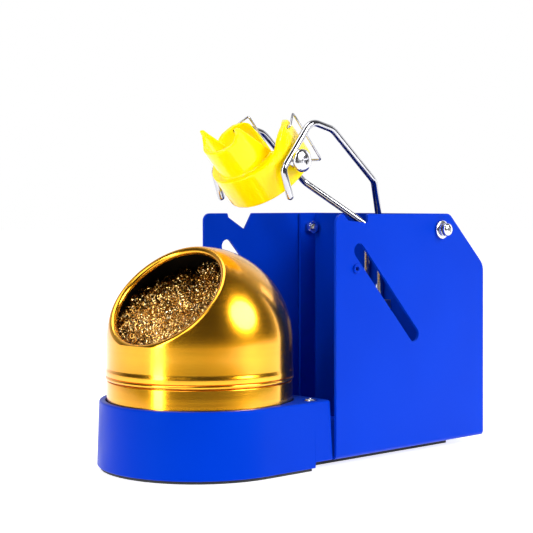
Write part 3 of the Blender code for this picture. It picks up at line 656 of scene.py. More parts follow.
# the slot, eyelet and panel screw are placed as x and z from the walls' front top corner
standSettings = {
    "tongueHalf": 38.5 * mm,
    "tongueEase": 1.0 * mm,
    "innerEase": 0.4 * mm,
    "frontCorner": 3.5 * mm,
    "wallFront": 16.5 * mm,              # behind the tongue's front end
    "slotEnds": ((13.6 * mm, -15.2 * mm), (47.3 * mm, -52.0 * mm)),
    "slotRadius": 3.1 * mm,
    "eyeletPlace": (11.5 * mm, -22.6 * mm),
    "eyeletRadius": 0.9 * mm,
    "panelScrew": (65.1 * mm, -7.0 * mm),
    "screwHole": 1.8 * mm,
    "trayScrew": (-15.2 * mm, 35.5 * mm),      # x and y in the frame
    # the top edges in mm, as x, drop and rounding: a shallow rest in the near wall, a V in the far one
    "nearRest": ((-3.4, 0, 0.5), (-0.4, 2.6, 0.9), (11.1, 3.7, 0.5), (11.1, 0, 0.7)),
    "farRest": ((6.4, 0, 0.8), (6.9, 1.9, 0.8), (16.9, 7.7, 1.2), (21.6, 0, 0.8)),
    "slope": ((63.2, 0, 4.8), (standHigh.x / mm, 23.2, 6.8)),
}
wallLeft = standLow.x + standSettings["wallFront"]
wallTop = standHigh.z
wallHalf = standHigh.y


def fromCorner(pair):
    return wallLeft + pair[0], wallTop + pair[1]


def slotLoop():
    first = fromCorner(standSettings["slotEnds"][0])
    last = fromCorner(standSettings["slotEnds"][1])
    run = math.degrees(math.atan2(last[1] - first[1], last[0] - first[0]))
    radius = standSettings["slotRadius"]
    return arcPoints(last, radius, run - 90, run + 90, 20) + arcPoints(first, radius, run + 90, run + 270, 20)


def buildStand():
    s = standSettings
    radius = sheetSettings["foldRadius"]
    floorHalf = wallHalf - radius
    low = standLow.z

    def unfold(z):
        return floorHalf + foldLength + (z - low - radius)

    def topEdge(rest):
        corner = [(wallLeft, wallTop, s["frontCorner"])]
        return corner + [(x * mm, wallTop - drop * mm, r * mm) for x, drop, r in s[rest] + s["slope"]]

    tongue = s["tongueHalf"]
    corners = [(standLow.x, tongue, s["tongueEase"]), (standLow.x, -tongue, s["tongueEase"])]
    corners += [(wallLeft, -tongue, s["innerEase"])]
    corners += [(x, -unfold(z), r) for x, z, r in topEdge("nearRest")]
    corners += [(x, unfold(z), r) for x, z, r in topEdge("farRest")[::-1]]
    corners += [(wallLeft, tongue, s["innerEase"])]

    holes = []
    for side in (-1, 1):
        holes.append([(x, side * unfold(z)) for x, z in slotLoop()])
        for key, size in (("eyeletPlace", "eyeletRadius"), ("panelScrew", "screwHole")):
            x, z = fromCorner(s[key])
            holes.append(circlePoints(x, side * unfold(z), s[size]))
        x, y = s["trayScrew"]
        holes.append(circlePoints(x, side * y, s["screwHole"]))

    def bend(x, across):
        side = -1 if across < 0 else 1
        run = abs(across)
        if run <= floorHalf:
            return Vector((x, across, low))
        if run <= floorHalf + foldLength:
            turn = (run - floorHalf) / radius
            reach = floorHalf + radius * math.sin(turn)
            return Vector((x, side * reach, low + radius * (1 - math.cos(turn))))
        return Vector((x, side * wallHalf, low + radius + run - floorHalf - foldLength))

    def outward(centre):
        return Vector((0, centre.y, -0.5 * mm))

    stand = foldedSheet("foldedStand", roundedCorners(corners), holes, 1, floorHalf, bend, outward, bluePaint)
    finishPiece(stand, "stand", "stand")


panelSettings = {
    "cornerEase": 0.8 * mm,
    "topHole": -22.8 * mm,
    "pitch": 11.3 * mm,
    # radii of the holes down the middle, for two spare threads and then two clamp screws
    "holes": (1.2 * mm, 1.2 * mm, 1.8 * mm, 1.8 * mm),
    "flangeHole": 1.8 * mm,
}


def buildEndPanel():
    s = panelSettings
    radius = sheetSettings["foldRadius"]
    backHalf = panelHigh.y - radius
    flange = panelHigh.x - panelLow.x - radius
    edge = backHalf + foldLength + flange
    plan = ((-edge, panelLow.z), (edge, panelLow.z), (edge, panelHigh.z), (-edge, panelHigh.z))
    corners = [(t, z, s["cornerEase"]) for t, z in plan]
    screwX, screwZ = fromCorner(standSettings["panelScrew"])
    reach = backHalf + foldLength + panelHigh.x - radius - screwX
    holes = [circlePoints(side * reach, screwZ, s["flangeHole"]) for side in (-1, 1)]
    for i, size in enumerate(s["holes"]):
        holes.append(circlePoints(0.0, wallTop + s["topHole"] - i * s["pitch"], size))

    def bend(t, z):
        side = -1 if t < 0 else 1
        run = abs(t)
        if run <= backHalf:
            return Vector((panelHigh.x, t, z))
        if run <= backHalf + foldLength:
            turn = (run - backHalf) / radius
            across = backHalf + radius * math.sin(turn)
            return Vector((panelHigh.x - radius * (1 - math.cos(turn)), side * across, z))
        return Vector((panelHigh.x - radius - (run - backHalf - foldLength), side * panelHigh.y, z))

    def outward(centre):
        return Vector((1, centre.y * 20, 0))

    panel = foldedSheet("foldedPanel", roundedCorners(corners), holes, 0, backHalf, bend, outward, bluePaint)
    finishPiece(panel, "stand", "end_panel")


buildStand()
buildEndPanel()
print("folded sheets made")


# small pieces on the sheets: raised eyelets, mat, pad and clamp
eyeletSettings = {"rimEase": 0.22 * mm, "steps": 48}


def buildEyelets():
    x, z = fromCorner(standSettings["eyeletPlace"])
    inner = standSettings["eyeletRadius"]
    ease = eyeletSettings["rimEase"]
    for side, label in ((-1, "near"), (1, "far")):
        low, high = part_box(f"eyelet_{label}")
        outer = (high.x - low.x) / 2
        tall = high.y - low.y
        profile = [(inner, 0.0), (outer, 0.0), (outer, tall - ease)]
        profile += arcPoints((outer - ease, tall - ease), ease, 0, 90, 4)
        profile += arcPoints((inner + ease, tall - ease), ease, 90, 180, 4)
        face = Vector((x, low.y if side > 0 else high.y, z))
        bm = aimed(turnedMesh(profile, eyeletSettings["steps"]), face, Vector((0, side, 0)))
        eyelet = addPiece(f"raisedEyelet{label.title()}", bm, bluePaint, smooth=50)
        finishPiece(eyelet, "stand", f"eyelet_{label}")

def dressCadNode(name, material, ease):
    node = nodes[name]
    node.data.materials.clear()
    node.data.materials.append(material)
    rounding = node.modifiers.new("eased edges", "BEVEL")
    rounding.width = ease
    rounding.segments = 2
    rounding.limit_method = "ANGLE"
    rounding.angle_limit = math.radians(40)


buildEyelets()
dressCadNode("stand_mat", blackRubber, 0.35 * mm)
dressCadNode("tray_pad", blackRubber, 0.20 * mm)
dressCadNode("arm_clamp", zincCasting, 0.35 * mm)


# screws, washers and nuts
screwSettings = {
    # thread radius, head radius, head height, recess arm length, recess width
    "small": (1.5 * mm, 2.75 * mm, 2.0 * mm, 1.45 * mm, 0.62 * mm),
    "large": (2.5 * mm, 4.85 * mm, 2.9 * mm, 2.35 * mm, 1.0 * mm),
    "pitch": 0.5 * mm,
    "threadDepth": 0.28 * mm,
    "shank": 0.4 * mm,                   # plain length under the head
    "point": 0.5 * mm,
    "headEase": 0.15 * mm,
    "headSide": 0.38,                    # shares of the head's height: its straight side, and the recess
    "recess": 0.62,
    "recessTaper": (0.85, 0.45),         # size of the recess floor, at its inner corners and its arms' tips
    "smoothAngle": 38,
    "steps": 56,
}
nutSettings = {"chamfer": 0.32 * mm, "mouth": 0.3 * mm, "steps": 96}
washerSettings = {
    "boltHole": 1.65 * mm,
    "pivotHole": 2.65 * mm,
    "ease": 0.15 * mm,
    "springEase": 0.12 * mm,
    "springSlit": 10.0,                  # degrees on each side of the cut
    "springClimb": 1.45,                 # whole height against the wire's own
    "steps": 72,
}


def crossRecess(arm, width, depth, top):
    # a tapered cross, wider at the head's top than at its floor
    half = width / 2
    innerTaper, tipTaper = screwSettings["recessTaper"]
    bm = bmesh.new()
    lower = []
    upper = []
    for k in range(4):
        turn = Matrix.Rotation(k * math.pi / 2, 2)
        for corner, taper in (((half, half), innerTaper), ((half, arm), tipTaper), ((-half, arm), tipTaper)):
            point = turn @ Vector(corner)
            lower.append(bm.verts.new((point.x * taper, point.y * taper, top - depth)))
            upper.append(bm.verts.new((point.x, point.y, top + 0.5 * mm)))
    joinRings(bm, [lower, upper])
    bm.faces.new(lower[::-1])
    bm.faces.new(upper)
    bmesh.ops.recalc_face_normals(bm, faces=bm.faces)
    return bm


def axisOf(outward):
    return Vector([abs(part) for part in outward])


def headSeat(node, tall, outward):
    # the middle of the head's underside
    low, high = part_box(node)
    middle = (low + high) / 2
    tip = high if outward.dot(Vector((1, 1, 1))) > 0 else low
    axis = axisOf(outward)
    return middle - axis * axis.dot(middle) + axis * axis.dot(tip) - outward * tall


def screwProfile(size, length):
    s = screwSettings
    thread, head, tall = s[size][:3]
    point = s["point"]
    side = tall * s["headSide"]
    profile = [(0.0, -length), (thread - point, -length), (thread, -length + point)]
    climb = -length + point
    while climb + s["pitch"] < -s["shank"]:
        profile += [(thread, climb), (thread - s["threadDepth"], climb + s["pitch"] * 0.5)]
        climb += s["pitch"]
    ease = s["headEase"]
    profile += [(thread, climb), (thread, 0.0), (head - ease, 0.0), (head, ease), (head, side)]
    for a in np.radians(np.arange(12, 84, 12)):
        profile.append((head * math.cos(a), side + (tall - side) * math.sin(a)))
    profile += [(head * 0.1, tall * 0.998), (0.0, tall)]
    # a point that repeats the one before it is dropped
    return profile[:1] + [p for q, p in zip(profile, profile[1:]) if math.dist(p, q) > 0.001 * mm]


def buildScrew(node, size, outward, turn):
    s = screwSettings
    tall, arm, width = s[size][2:]
    low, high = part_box(node)
    length = max(abs(outward.dot(high - low)) - tall, 1 * mm)
    mesh = turnedMesh(screwProfile(size, length), s["steps"])
    screw = addPiece(f"{node}_turned", mesh, screwPlating, smooth=s["smoothAngle"])
    tool = addPiece("recess", crossRecess(arm, width, tall * s["recess"], tall), screwPlating)
    tool.data.transform(Matrix.Rotation(math.radians(turn), 4, "Z"))
    booleanWith(screw, tool, "DIFFERENCE")
    spin = Vector((0, 0, 1)).rotation_difference(outward).to_matrix().to_4x4()
    screw.data.transform(Matrix.Translation(headSeat(node, tall, outward)) @ spin)
    screw.data.set_sharp_from_angle(angle=math.radians(s["smoothAngle"]))
    finishPiece(screw, "stand", node)


def buildNut(node, outward, hole):
    low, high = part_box(node)
    top = axisOf(outward).dot(high - low) / 2
    across = sorted(high - low)[1]
    corner = across / 2 / math.cos(math.radians(30))
    steps = nutSettings["steps"]
    cut = nutSettings["chamfer"]
    mouth = nutSettings["mouth"]
    bm = bmesh.new()
    rings = []
    for height, off in ((-top, cut), (-top + cut * 0.6, 0.0), (top - cut * 0.6, 0.0), (top, cut)):
        ring = []
        for i in range(steps):
            angle = 2 * math.pi * i / steps
            offFlat = (angle + math.pi / 6) % (math.pi / 3) - math.pi / 6
            reach = min(corner - off * 1.2, across / 2 / math.cos(offFlat))
            ring.append(bm.verts.new((reach * math.cos(angle), reach * math.sin(angle), height)))
        rings.append(ring)
    for height, widen in ((top, mouth), (top - mouth, 0), (-top + mouth, 0), (-top, mouth)):
        rings.append(ringAround(bm, hole + widen, height, steps))
    joinRings(bm, rings, closed=True)
    bmesh.ops.recalc_face_normals(bm, faces=bm.faces)
    nut = addPiece(f"{node}_milled", aimed(bm, (low + high) / 2, outward), screwPlating, smooth=30)
    finishPiece(nut, "stand", node)


def buildWasher(node, outward, hole):
    low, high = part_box(node)
    thick = abs(outward.dot(high - low))
    outer = (high.x - low.x) / 2
    ease = washerSettings["ease"]
    profile = [(hole, ease), (hole + ease, 0), (outer - ease, 0), (outer, ease), (outer, thick - ease)]
    profile += [(outer - ease, thick), (hole + ease, thick), (hole, thick - ease)]
    base = (low + high) / 2 - outward * thick / 2
    bm = aimed(turnedMesh(profile, washerSettings["steps"]), base, outward)
    washer = addPiece(f"{node}_stamped", bm, screwPlating, smooth=50)
    finishPiece(washer, "stand", node)


def buildSpringWasher(node, outward, hole):
    # one turn of square wire, climbing from one side of its cut to the other
    s = washerSettings
    low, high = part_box(node)
    outer = (high.z - low.z) / 2
    tall = abs(outward.dot(high - low))
    thick = tall / s["springClimb"]
    ease = s["springEase"]
    slit = s["springSlit"]
    plan = [(hole + ease, 0), (outer - ease, 0), (outer, ease), (outer, thick - ease)]
    plan += [(outer - ease, thick), (hole + ease, thick), (hole, thick - ease), (hole, ease)]
    bm = bmesh.new()
    rings = []
    for i in range(s["steps"] + 1):
        angle = math.radians(slit + (360 - 2 * slit) * i / s["steps"])
        rise = (tall - thick) * i / s["steps"]
        rings.append([bm.verts.new((r * math.cos(angle), r * math.sin(angle), rise + z)) for r, z in plan])
    joinRings(bm, rings)
    bm.faces.new(rings[0][::-1])
    bm.faces.new(rings[-1])
    bmesh.ops.recalc_face_normals(bm, faces=bm.faces)
    screwX, screwZ = fromCorner(standSettings["panelScrew"])
    base = Vector((screwX, high.y if outward.y < 0 else low.y, screwZ))
    washer = addPiece(f"{node}_coiled", aimed(bm, base, outward), screwPlating, smooth=40)
    finishPiece(washer, "stand", node)


def buildFasteners():
    # each recess is left at its own angle, as a screwdriver leaves it
    boltHole = washerSettings["boltHole"]
    for side, label, turn in ((-1, "near", 20), (1, "far", 55)):
        outward = Vector((0, side, 0))
        buildWasher(f"panel_washer_{label}", outward, boltHole)
        buildSpringWasher(f"spring_washer_{label}", outward, boltHole)
        buildScrew(f"panel_screw_{label}", "small", outward, turn)
        buildNut(f"panel_nut_{label}", -outward, boltHole)
        buildScrew(f"pivot_screw_{label}", "large", outward, turn + 12)
        buildNut(f"pivot_nut_{label}", -outward, washerSettings["pivotHole"])
        buildScrew(f"tray_screw_{label}", "small", Vector((0, 0, 1)), turn * 2)
    for label, turn in (("upper", 10), ("lower", 40)):
        inward = Vector((-1, 0, 0))
        buildScrew(f"clamp_screw_{label}", "small", inward, turn)
        buildNut(f"clamp_nut_{label}", -inward, boltHole)


buildFasteners()
print("fasteners made")


# the two wire arms, measured from the pivot, and the bail, measured in the iron's own frame
armSettings = {
    "wire": 1.5 * mm,                    # radius
    "sides": 32,
    "reach": 22.2 * mm,
    "legReach": 4.2 * mm,
    # corners in mm along X and Z, from the free end to the top of the leg
    "corners": ((-4.0, -16.5), (-8.5, -3.6), (7.5, 16.9), (20.5, 13.8), (46.0, -7.9)),
    "bends": (4.0 * mm, 7.0 * mm, 9.0 * mm, 7.0 * mm, 5.0 * mm),
    "bendSteps": 14,
    "shoulder": -28.2 * mm,
    "foot": -102.2 * mm,
}
bailSettings = {
    "wire": 0.49 * mm,                   # radius
    "sides": 20,
    "hook": (-11.6 * mm, 8.0 * mm),
    "hookStart": 14.6 * mm,
    "hookEnd": 19.6 * mm,
    "railSide": 14.3 * mm,
    "railHeight": 16.35 * mm,
    "railEnd": 13.8 * mm,
    "frontLean": (-0.4 * mm, 1.0 * mm),  # the rail's front bend, ahead of the hook and above the rail
    "bends": (1.1 * mm, 1.2 * mm, 1.4 * mm, 1.4 * mm, 1.2 * mm, 1.1 * mm),
    "bendSteps": 10,
}


def buildArms():
    s = armSettings
    for side, label in ((-1, "near"), (1, "far")):
        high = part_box(f"wire_arm_{label}")[1]
        corners = [pivot + Vector((x * mm, side * s["reach"], z * mm)) for x, z in s["corners"]]
        for drop in (s["shoulder"], s["foot"]):
            corners.append(Vector((high.x - s["wire"], side * s["legReach"], pivot.z + drop)))
        route = roundedRoute(corners, s["bends"], s["bendSteps"])
        arm = sweptWire(f"bentArm{label.title()}", route, s["wire"], wirePlating, s["sides"])
        finishPiece(arm, "stand", f"wire_arm_{label}")


def buildBail():
    s = bailSettings
    x, z = s["hook"]
    rail = s["railHeight"]
    leanX, leanZ = s["frontLean"]
    halves = []
    for side in (-1, 1):
        half = [Vector((x, side * s["hookStart"], z)), Vector((x, side * s["hookEnd"], z))]
        half += [Vector((x + leanX, side * s["railSide"], rail + leanZ))]
        half += [Vector((s["railEnd"], side * s["railSide"], rail))]
        halves.append(half)
    corners = [ironFrame @ point for point in halves[0] + halves[1][::-1]]
    route = roundedRoute(corners, s["bends"], s["bendSteps"])
    bail = sweptWire("sprungBail", route, s["wire"], wirePlating, s["sides"])
    finishPiece(bail, "bail", "bail")


buildArms()
buildBail()
print("wires made")


# receptacle, in the iron's own frame: x along the iron, z square to it
receptacleSettings = {
    "shellRadius": 20.4 * mm,
    "shellDrop": -1.0 * mm,
    "shellWall": 2.6 * mm,
    "rear": 7.3 * mm,
    "lobeFront": -13.6 * mm,
    # side profiles in mm, each corner with its rounding: under the lobes, over them, below the trough
    "lobeUnder": (
        (-7.3, -30, 0), (-7.3, -12, 5), (-8.4, -5.6, 5), (-12.4, -0.4, 5), (-13.6, 3.2, 3), (-13.6, 6, 0),
    ),
    "lobeOver": (
        (-13.6, 9, 2), (-12.9, 12, 0.6), (-11.3, 13.2, 0.6), (-5, 14.2, 0), (5.3, 15, 3), (10.3, 12, 0),
    ),
    "troughUnder": (
        (-21.6, -30, 0), (-21.6, -13.4, 3.5), (-24.0, -10.6, 2.5), (-26.6, -9.9, 0.5), (-26.5, -8.7, 0.9),
    ),
    "troughEdge": (-26.4 * mm, -8.6 * mm, 0.381),      # a place on the trough's top edge, and its slope
    "troughRadius": 12.4 * mm,
    "troughDrop": -6.8 * mm,
    "troughWall": 1.8 * mm,
    "troughTip": -26.6 * mm,
    "webFront": -7.15 * mm,
    "webThick": 1.8 * mm,
    "webOverlap": 0.6 * mm,
    "pivotHole": 2.8 * mm,
    "hookHole": 0.85 * mm,
    "voxel": 0.34 * mm,
    "softening": 4,
}


def placeAcross(a, b, x):
    return Vector((x, a, b))


def placeBeside(x, z, y):
    return Vector((x, y, z))


def buildReceptacle():
    s = receptacleSettings
    over = 3 * mm                        # how far a cutting tool stands out, and its half width
    wide = 30 * mm
    inner = s["shellRadius"] - s["shellWall"]
    drop = s["shellDrop"]
    rearPast = s["rear"] + over

    def tool(name, outline, low, high, place=placeAcross):
        return addPiece(name, prismMesh(outline, low, high, place), yellowPlastic)

    def sideTool(name, corners):
        return tool(name, roundedCorners(corners), -wide, wide, placeBeside)

    def inMm(rows):
        return [(x * mm, z * mm, r * mm) for x, z, r in rows]

    def circle(radius):
        return arcPoints((0, drop), radius, 0, 357.5, 143)

    def trough(radius, top):
        return [(radius, top)] + arcPoints((0, s["troughDrop"]), radius, 0, -180, 72) + [(-radius, top)]

    def troughEdge(x):
        edgeX, edgeZ, slope = s["troughEdge"]
        return edgeZ + slope * (x - edgeX)

    shell = tool("mouldedReceptacle", circle(s["shellRadius"]), s["lobeFront"], s["rear"])
    booleanWith(shell, tool("hollow", circle(inner), s["lobeFront"] - over, rearPast), "DIFFERENCE")
    # the front edge sweeps back under the lobes
    front = s["lobeFront"] - over
    under = [(front, -wide, 0)] + inMm(s["lobeUnder"]) + [(front, 6 * mm, 0)]
    booleanWith(shell, sideTool("under", under), "DIFFERENCE")
    above = [(front, 9 * mm, 0)] + inMm(s["lobeOver"]) + [(rearPast, wide, 0), (front, wide, 0)]
    booleanWith(shell, sideTool("above", above), "DIFFERENCE")
    # a thin web closes the space between the ring and the trough
    webRadius = inner + s["webOverlap"]
    start = math.degrees(math.asin((troughEdge(s["lobeUnder"][0][0] * mm) - drop) / webRadius))
    webOutline = arcPoints((0, drop), webRadius, start, -180 - start, 90)
    booleanWith(shell, tool("web", webOutline, s["webFront"], s["webFront"] + s["webThick"]), "UNION")
    half = tool("trough", trough(s["troughRadius"], 8 * mm), s["troughTip"] - over, s["rear"] - 0.3 * mm)
    side = inMm(s["troughUnder"]) + [(rearPast, troughEdge(rearPast), 0), (rearPast, -wide, 0)]
    booleanWith(half, sideTool("side", side), "INTERSECT")
    booleanWith(shell, half, "UNION")
    boreOutline = trough(s["troughRadius"] - s["troughWall"], wide)
    booleanWith(shell, tool("bore", boreOutline, s["troughTip"] - over, rearPast), "DIFFERENCE")
    for (x, z), radius in (((0, 0), s["pivotHole"]), (bailSettings["hook"], s["hookHole"])):
        rod = [(0, -wide), (radius, -wide), (radius, wide), (0, wide)]
        pin = aimed(turnedMesh(rod, 64), Vector((x, 0, z)), Vector((0, 1, 0)))
        booleanWith(shell, addPiece("pin", pin, yellowPlastic), "DIFFERENCE")

    # a fine even skin, softened so that every moulded edge is round
    skin = shell.modifiers.new("skin", "REMESH")
    skin.mode = "VOXEL"
    skin.voxel_size = s["voxel"]
    soft = shell.modifiers.new("soft", "SMOOTH")
    soft.factor = 0.5
    soft.iterations = s["softening"]
    applied(shell)
    shell.data.transform(ironFrame)
    shell.data.shade_smooth()
    finishPiece(shell, "receptacle", "receptacle")
    print("receptacle skin has", len(shell.data.polygons), "faces")


buildReceptacle()


# tray
traySettings = {
    "wellRadius": 38.9 * mm,
    "wellWall": 2.2 * mm,
    "wellEase": 0.5 * mm,
    "wellFillet": 1.5 * mm,
    "floor": 6.7 * mm,
    "draft": 0.8 * mm,
    "topEase": 0.9 * mm,
    "corner": 2.0 * mm,
    "gap": 0.3 * mm,                     # to the stand's walls
    "sidePoint": 12 * mm,                # one more point along the straight side, past the well's middle
    "skirt": 2.4 * mm,
    "skirtEase": 0.3 * mm,
    "ceiling": 4.95 * mm,
    "raisedFrom": -18.5 * mm,            # the skirt's underside, where the stand passes beneath
    "raisedTo": 3.5 * mm,
    "bulgeUnder": 4.75 * mm,
    "tongueWay": 39.1 * mm,
    "seatRadius": 3.2 * mm,
    "seatDepth": 1.6 * mm,
}
trayReach = cleanerAxis.x - trayLow.x      # radius of the round end


def trayOutline(inset):
    # round end towards -X, straight sides, square back, and the well's bulge past the back
    s = traySettings
    radius = trayReach - inset
    back = wallLeft - s["gap"] - inset
    bulge = s["wellRadius"] + s["wellWall"] - inset
    corner = s["corner"]
    cx = cleanerAxis.x
    half = arcPoints((cx, 0), bulge, 0, math.degrees(math.acos((back - cx) / bulge)), 14)
    half += arcPoints((back - corner, radius - corner), corner, 0, 90, 8)
    # the skirt steps up where the stand passes beneath, so two points stand close together there
    step = s["raisedFrom"]
    half += [(back - corner - 4 * mm, radius), (step + 0.02 * mm, radius), (step - 0.02 * mm, radius)]
    half += [(cx + s["sidePoint"], radius)]
    half += arcPoints((cx, 0), radius, 90, 180, 60)
    return half + [(x, -y) for x, y in half[-2:0:-1]]


def skirtBottom(x, y):
    if x < traySettings["raisedFrom"]:
        return trayLow.z
    return traySettings["bulgeUnder" if abs(y) < traySettings["tongueWay"] else "raisedTo"]


def quarterTurn(steps):
    # sine and cosine at even steps from 0 to 90 degrees
    turns = [math.radians(90 * k / steps) for k in range(steps + 1)]
    return [(math.sin(turn), math.cos(turn)) for turn in turns]


def buildTray():
    s = traySettings
    cx = cleanerAxis.x
    top = trayHigh.z
    bm = bmesh.new()
    base = trayOutline(0.0)
    bottoms = [skirtBottom(x, y) for x, y in base]

    def loopAt(inset, heights):
        return [bm.verts.new((x, y, z)) for (x, y), z in zip(trayOutline(inset), heights)]

    def levelLoop(inset, z):
        return loopAt(inset, [z] * len(base))

    def wellRing(radius, z):
        ring = []
        for x, y in base:
            spoke = Vector((x - cx, y)).normalized()
            ring.append(bm.verts.new((cx + spoke.x * radius, spoke.y * radius, z)))
        return ring

    skirt = s["skirt"]
    lift = s["skirtEase"]
    ease = s["topEase"]
    edge = s["wellEase"]
    fillet = s["wellFillet"]
    well = s["wellRadius"]
    # from under the middle, out over the skirt and the top, and down into the well
    rings = [[bm.verts.new((cx, 0, s["ceiling"]))], levelLoop(skirt + 0.6 * mm, s["ceiling"])]
    rings += [levelLoop(skirt, s["ceiling"] - 0.05 * mm), loopAt(skirt - lift, bottoms)]
    rings += [loopAt(lift, bottoms), loopAt(0.0, [z + lift for z in bottoms])]
    for share in (0.25, 0.5, 0.75):
        rings.append(loopAt(s["draft"] * share, [z + (top - ease - z) * share for z in bottoms]))
    for sin, cos in quarterTurn(6):
        rings.append(levelLoop(s["draft"] + ease * (1 - cos), top - ease + ease * sin))
    rings += [wellRing(well + edge * (1 - sin), top - edge * (1 - cos)) for sin, cos in quarterTurn(5)]
    low = s["floor"] + fillet
    rings += [wellRing(well - fillet * (1 - cos), low - fillet * sin) for sin, cos in quarterTurn(4)]
    rings.append([bm.verts.new((cx, 0, s["floor"]))])
    joinRings(bm, rings)
    bmesh.ops.recalc_face_normals(bm, faces=bm.faces)
    tray = addPiece("mouldedTray", bm, bluePaint, smooth=35)
    x, y = standSettings["trayScrew"]
    for side in (-1, 1):
        for radius, low in ((standSettings["screwHole"], 0.0), (s["seatRadius"], top - s["seatDepth"])):
            rod = [(0, low), (radius, low), (radius, top + 5 * mm), (0, top + 5 * mm)]
            booleanWith(tray, addPiece("drill", turnedMesh(rod, 48, (x, side * y)), bluePaint), "DIFFERENCE")
    weighted = tray.modifiers.new("weighted normals", "WEIGHTED_NORMAL")
    weighted.keep_sharp = True
    finishPiece(tray, "stand", "cleaner_tray")


buildTray()
print("tray made")


# cup and dome
cleanerSettings = {
    "cupRadius": 38.4 * mm,
    "cupWall": 1.0 * mm,
    "cupFoot": 3 * mm,
    "cupBead": 0.35 * mm,
    "domeRadius": 38.5 * mm,
    "domeWall": 1.0 * mm,
    "domeCentre": 52.0 * mm,
    "neckDepth": 6.0 * mm,
    "neckPlay": 0.4 * mm,
    "hemBead": 0.9 * mm,
    "bandTop": 41.0 * mm,
    # the straight band in mm: how far it stands out of the ball, and its height from the band's top
    "band": ((0.35, -1.6), (0.30, -0.9), (0.05, -0.3), (0.0, 0.4)),
    "mouthTilt": 43.4,
    "mouthTurn": 8.0,
    "mouthDistance": 28.2 * mm,
    "lipRound": 1.7 * mm,
    "lipTurn": 150,
    "lipSteps": 10,
    "around": 256,
    "across": 40,
}
domeCentre = Vector((cleanerAxis.x, 0, cleanerSettings["domeCentre"]))
turnAway = math.radians(cleanerSettings["mouthTurn"])
mouthLevel = Vector((-math.cos(turnAway), -math.sin(turnAway), 0))
tiltUp = math.radians(cleanerSettings["mouthTilt"])
mouthAxis = mouthLevel * math.cos(tiltUp) + Vector((0, 0, math.sin(tiltUp)))


def buildCup():
    s = cleanerSettings
    outer = s["cupRadius"]
    wall = s["cupWall"]
    inner = outer - wall
    low = cupLow.z
    rim = cupHigh.z
    foot = s["cupFoot"]
    bead = s["cupBead"]
    profile = [(0, low), (outer - foot, low)] + arcPoints((outer - foot, low + foot), foot, -90, 0, 8)[1:]
    profile += [(outer, rim - bead)] + arcPoints((outer - bead, rim - bead), bead, 0, 90, 4)[1:]
    profile += [(inner + 0.2 * mm, rim), (inner, rim - 0.3 * mm), (inner, low + foot)]
    profile += [(inner - 2 * mm, low + wall), (0, low + wall)]
    cup = addPiece("spunCup", turnedMesh(profile, s["around"], (cleanerAxis.x, 0)), goldSkin, smooth=40)
    finishPiece(cup, "cleaner", "cleaner_cup")


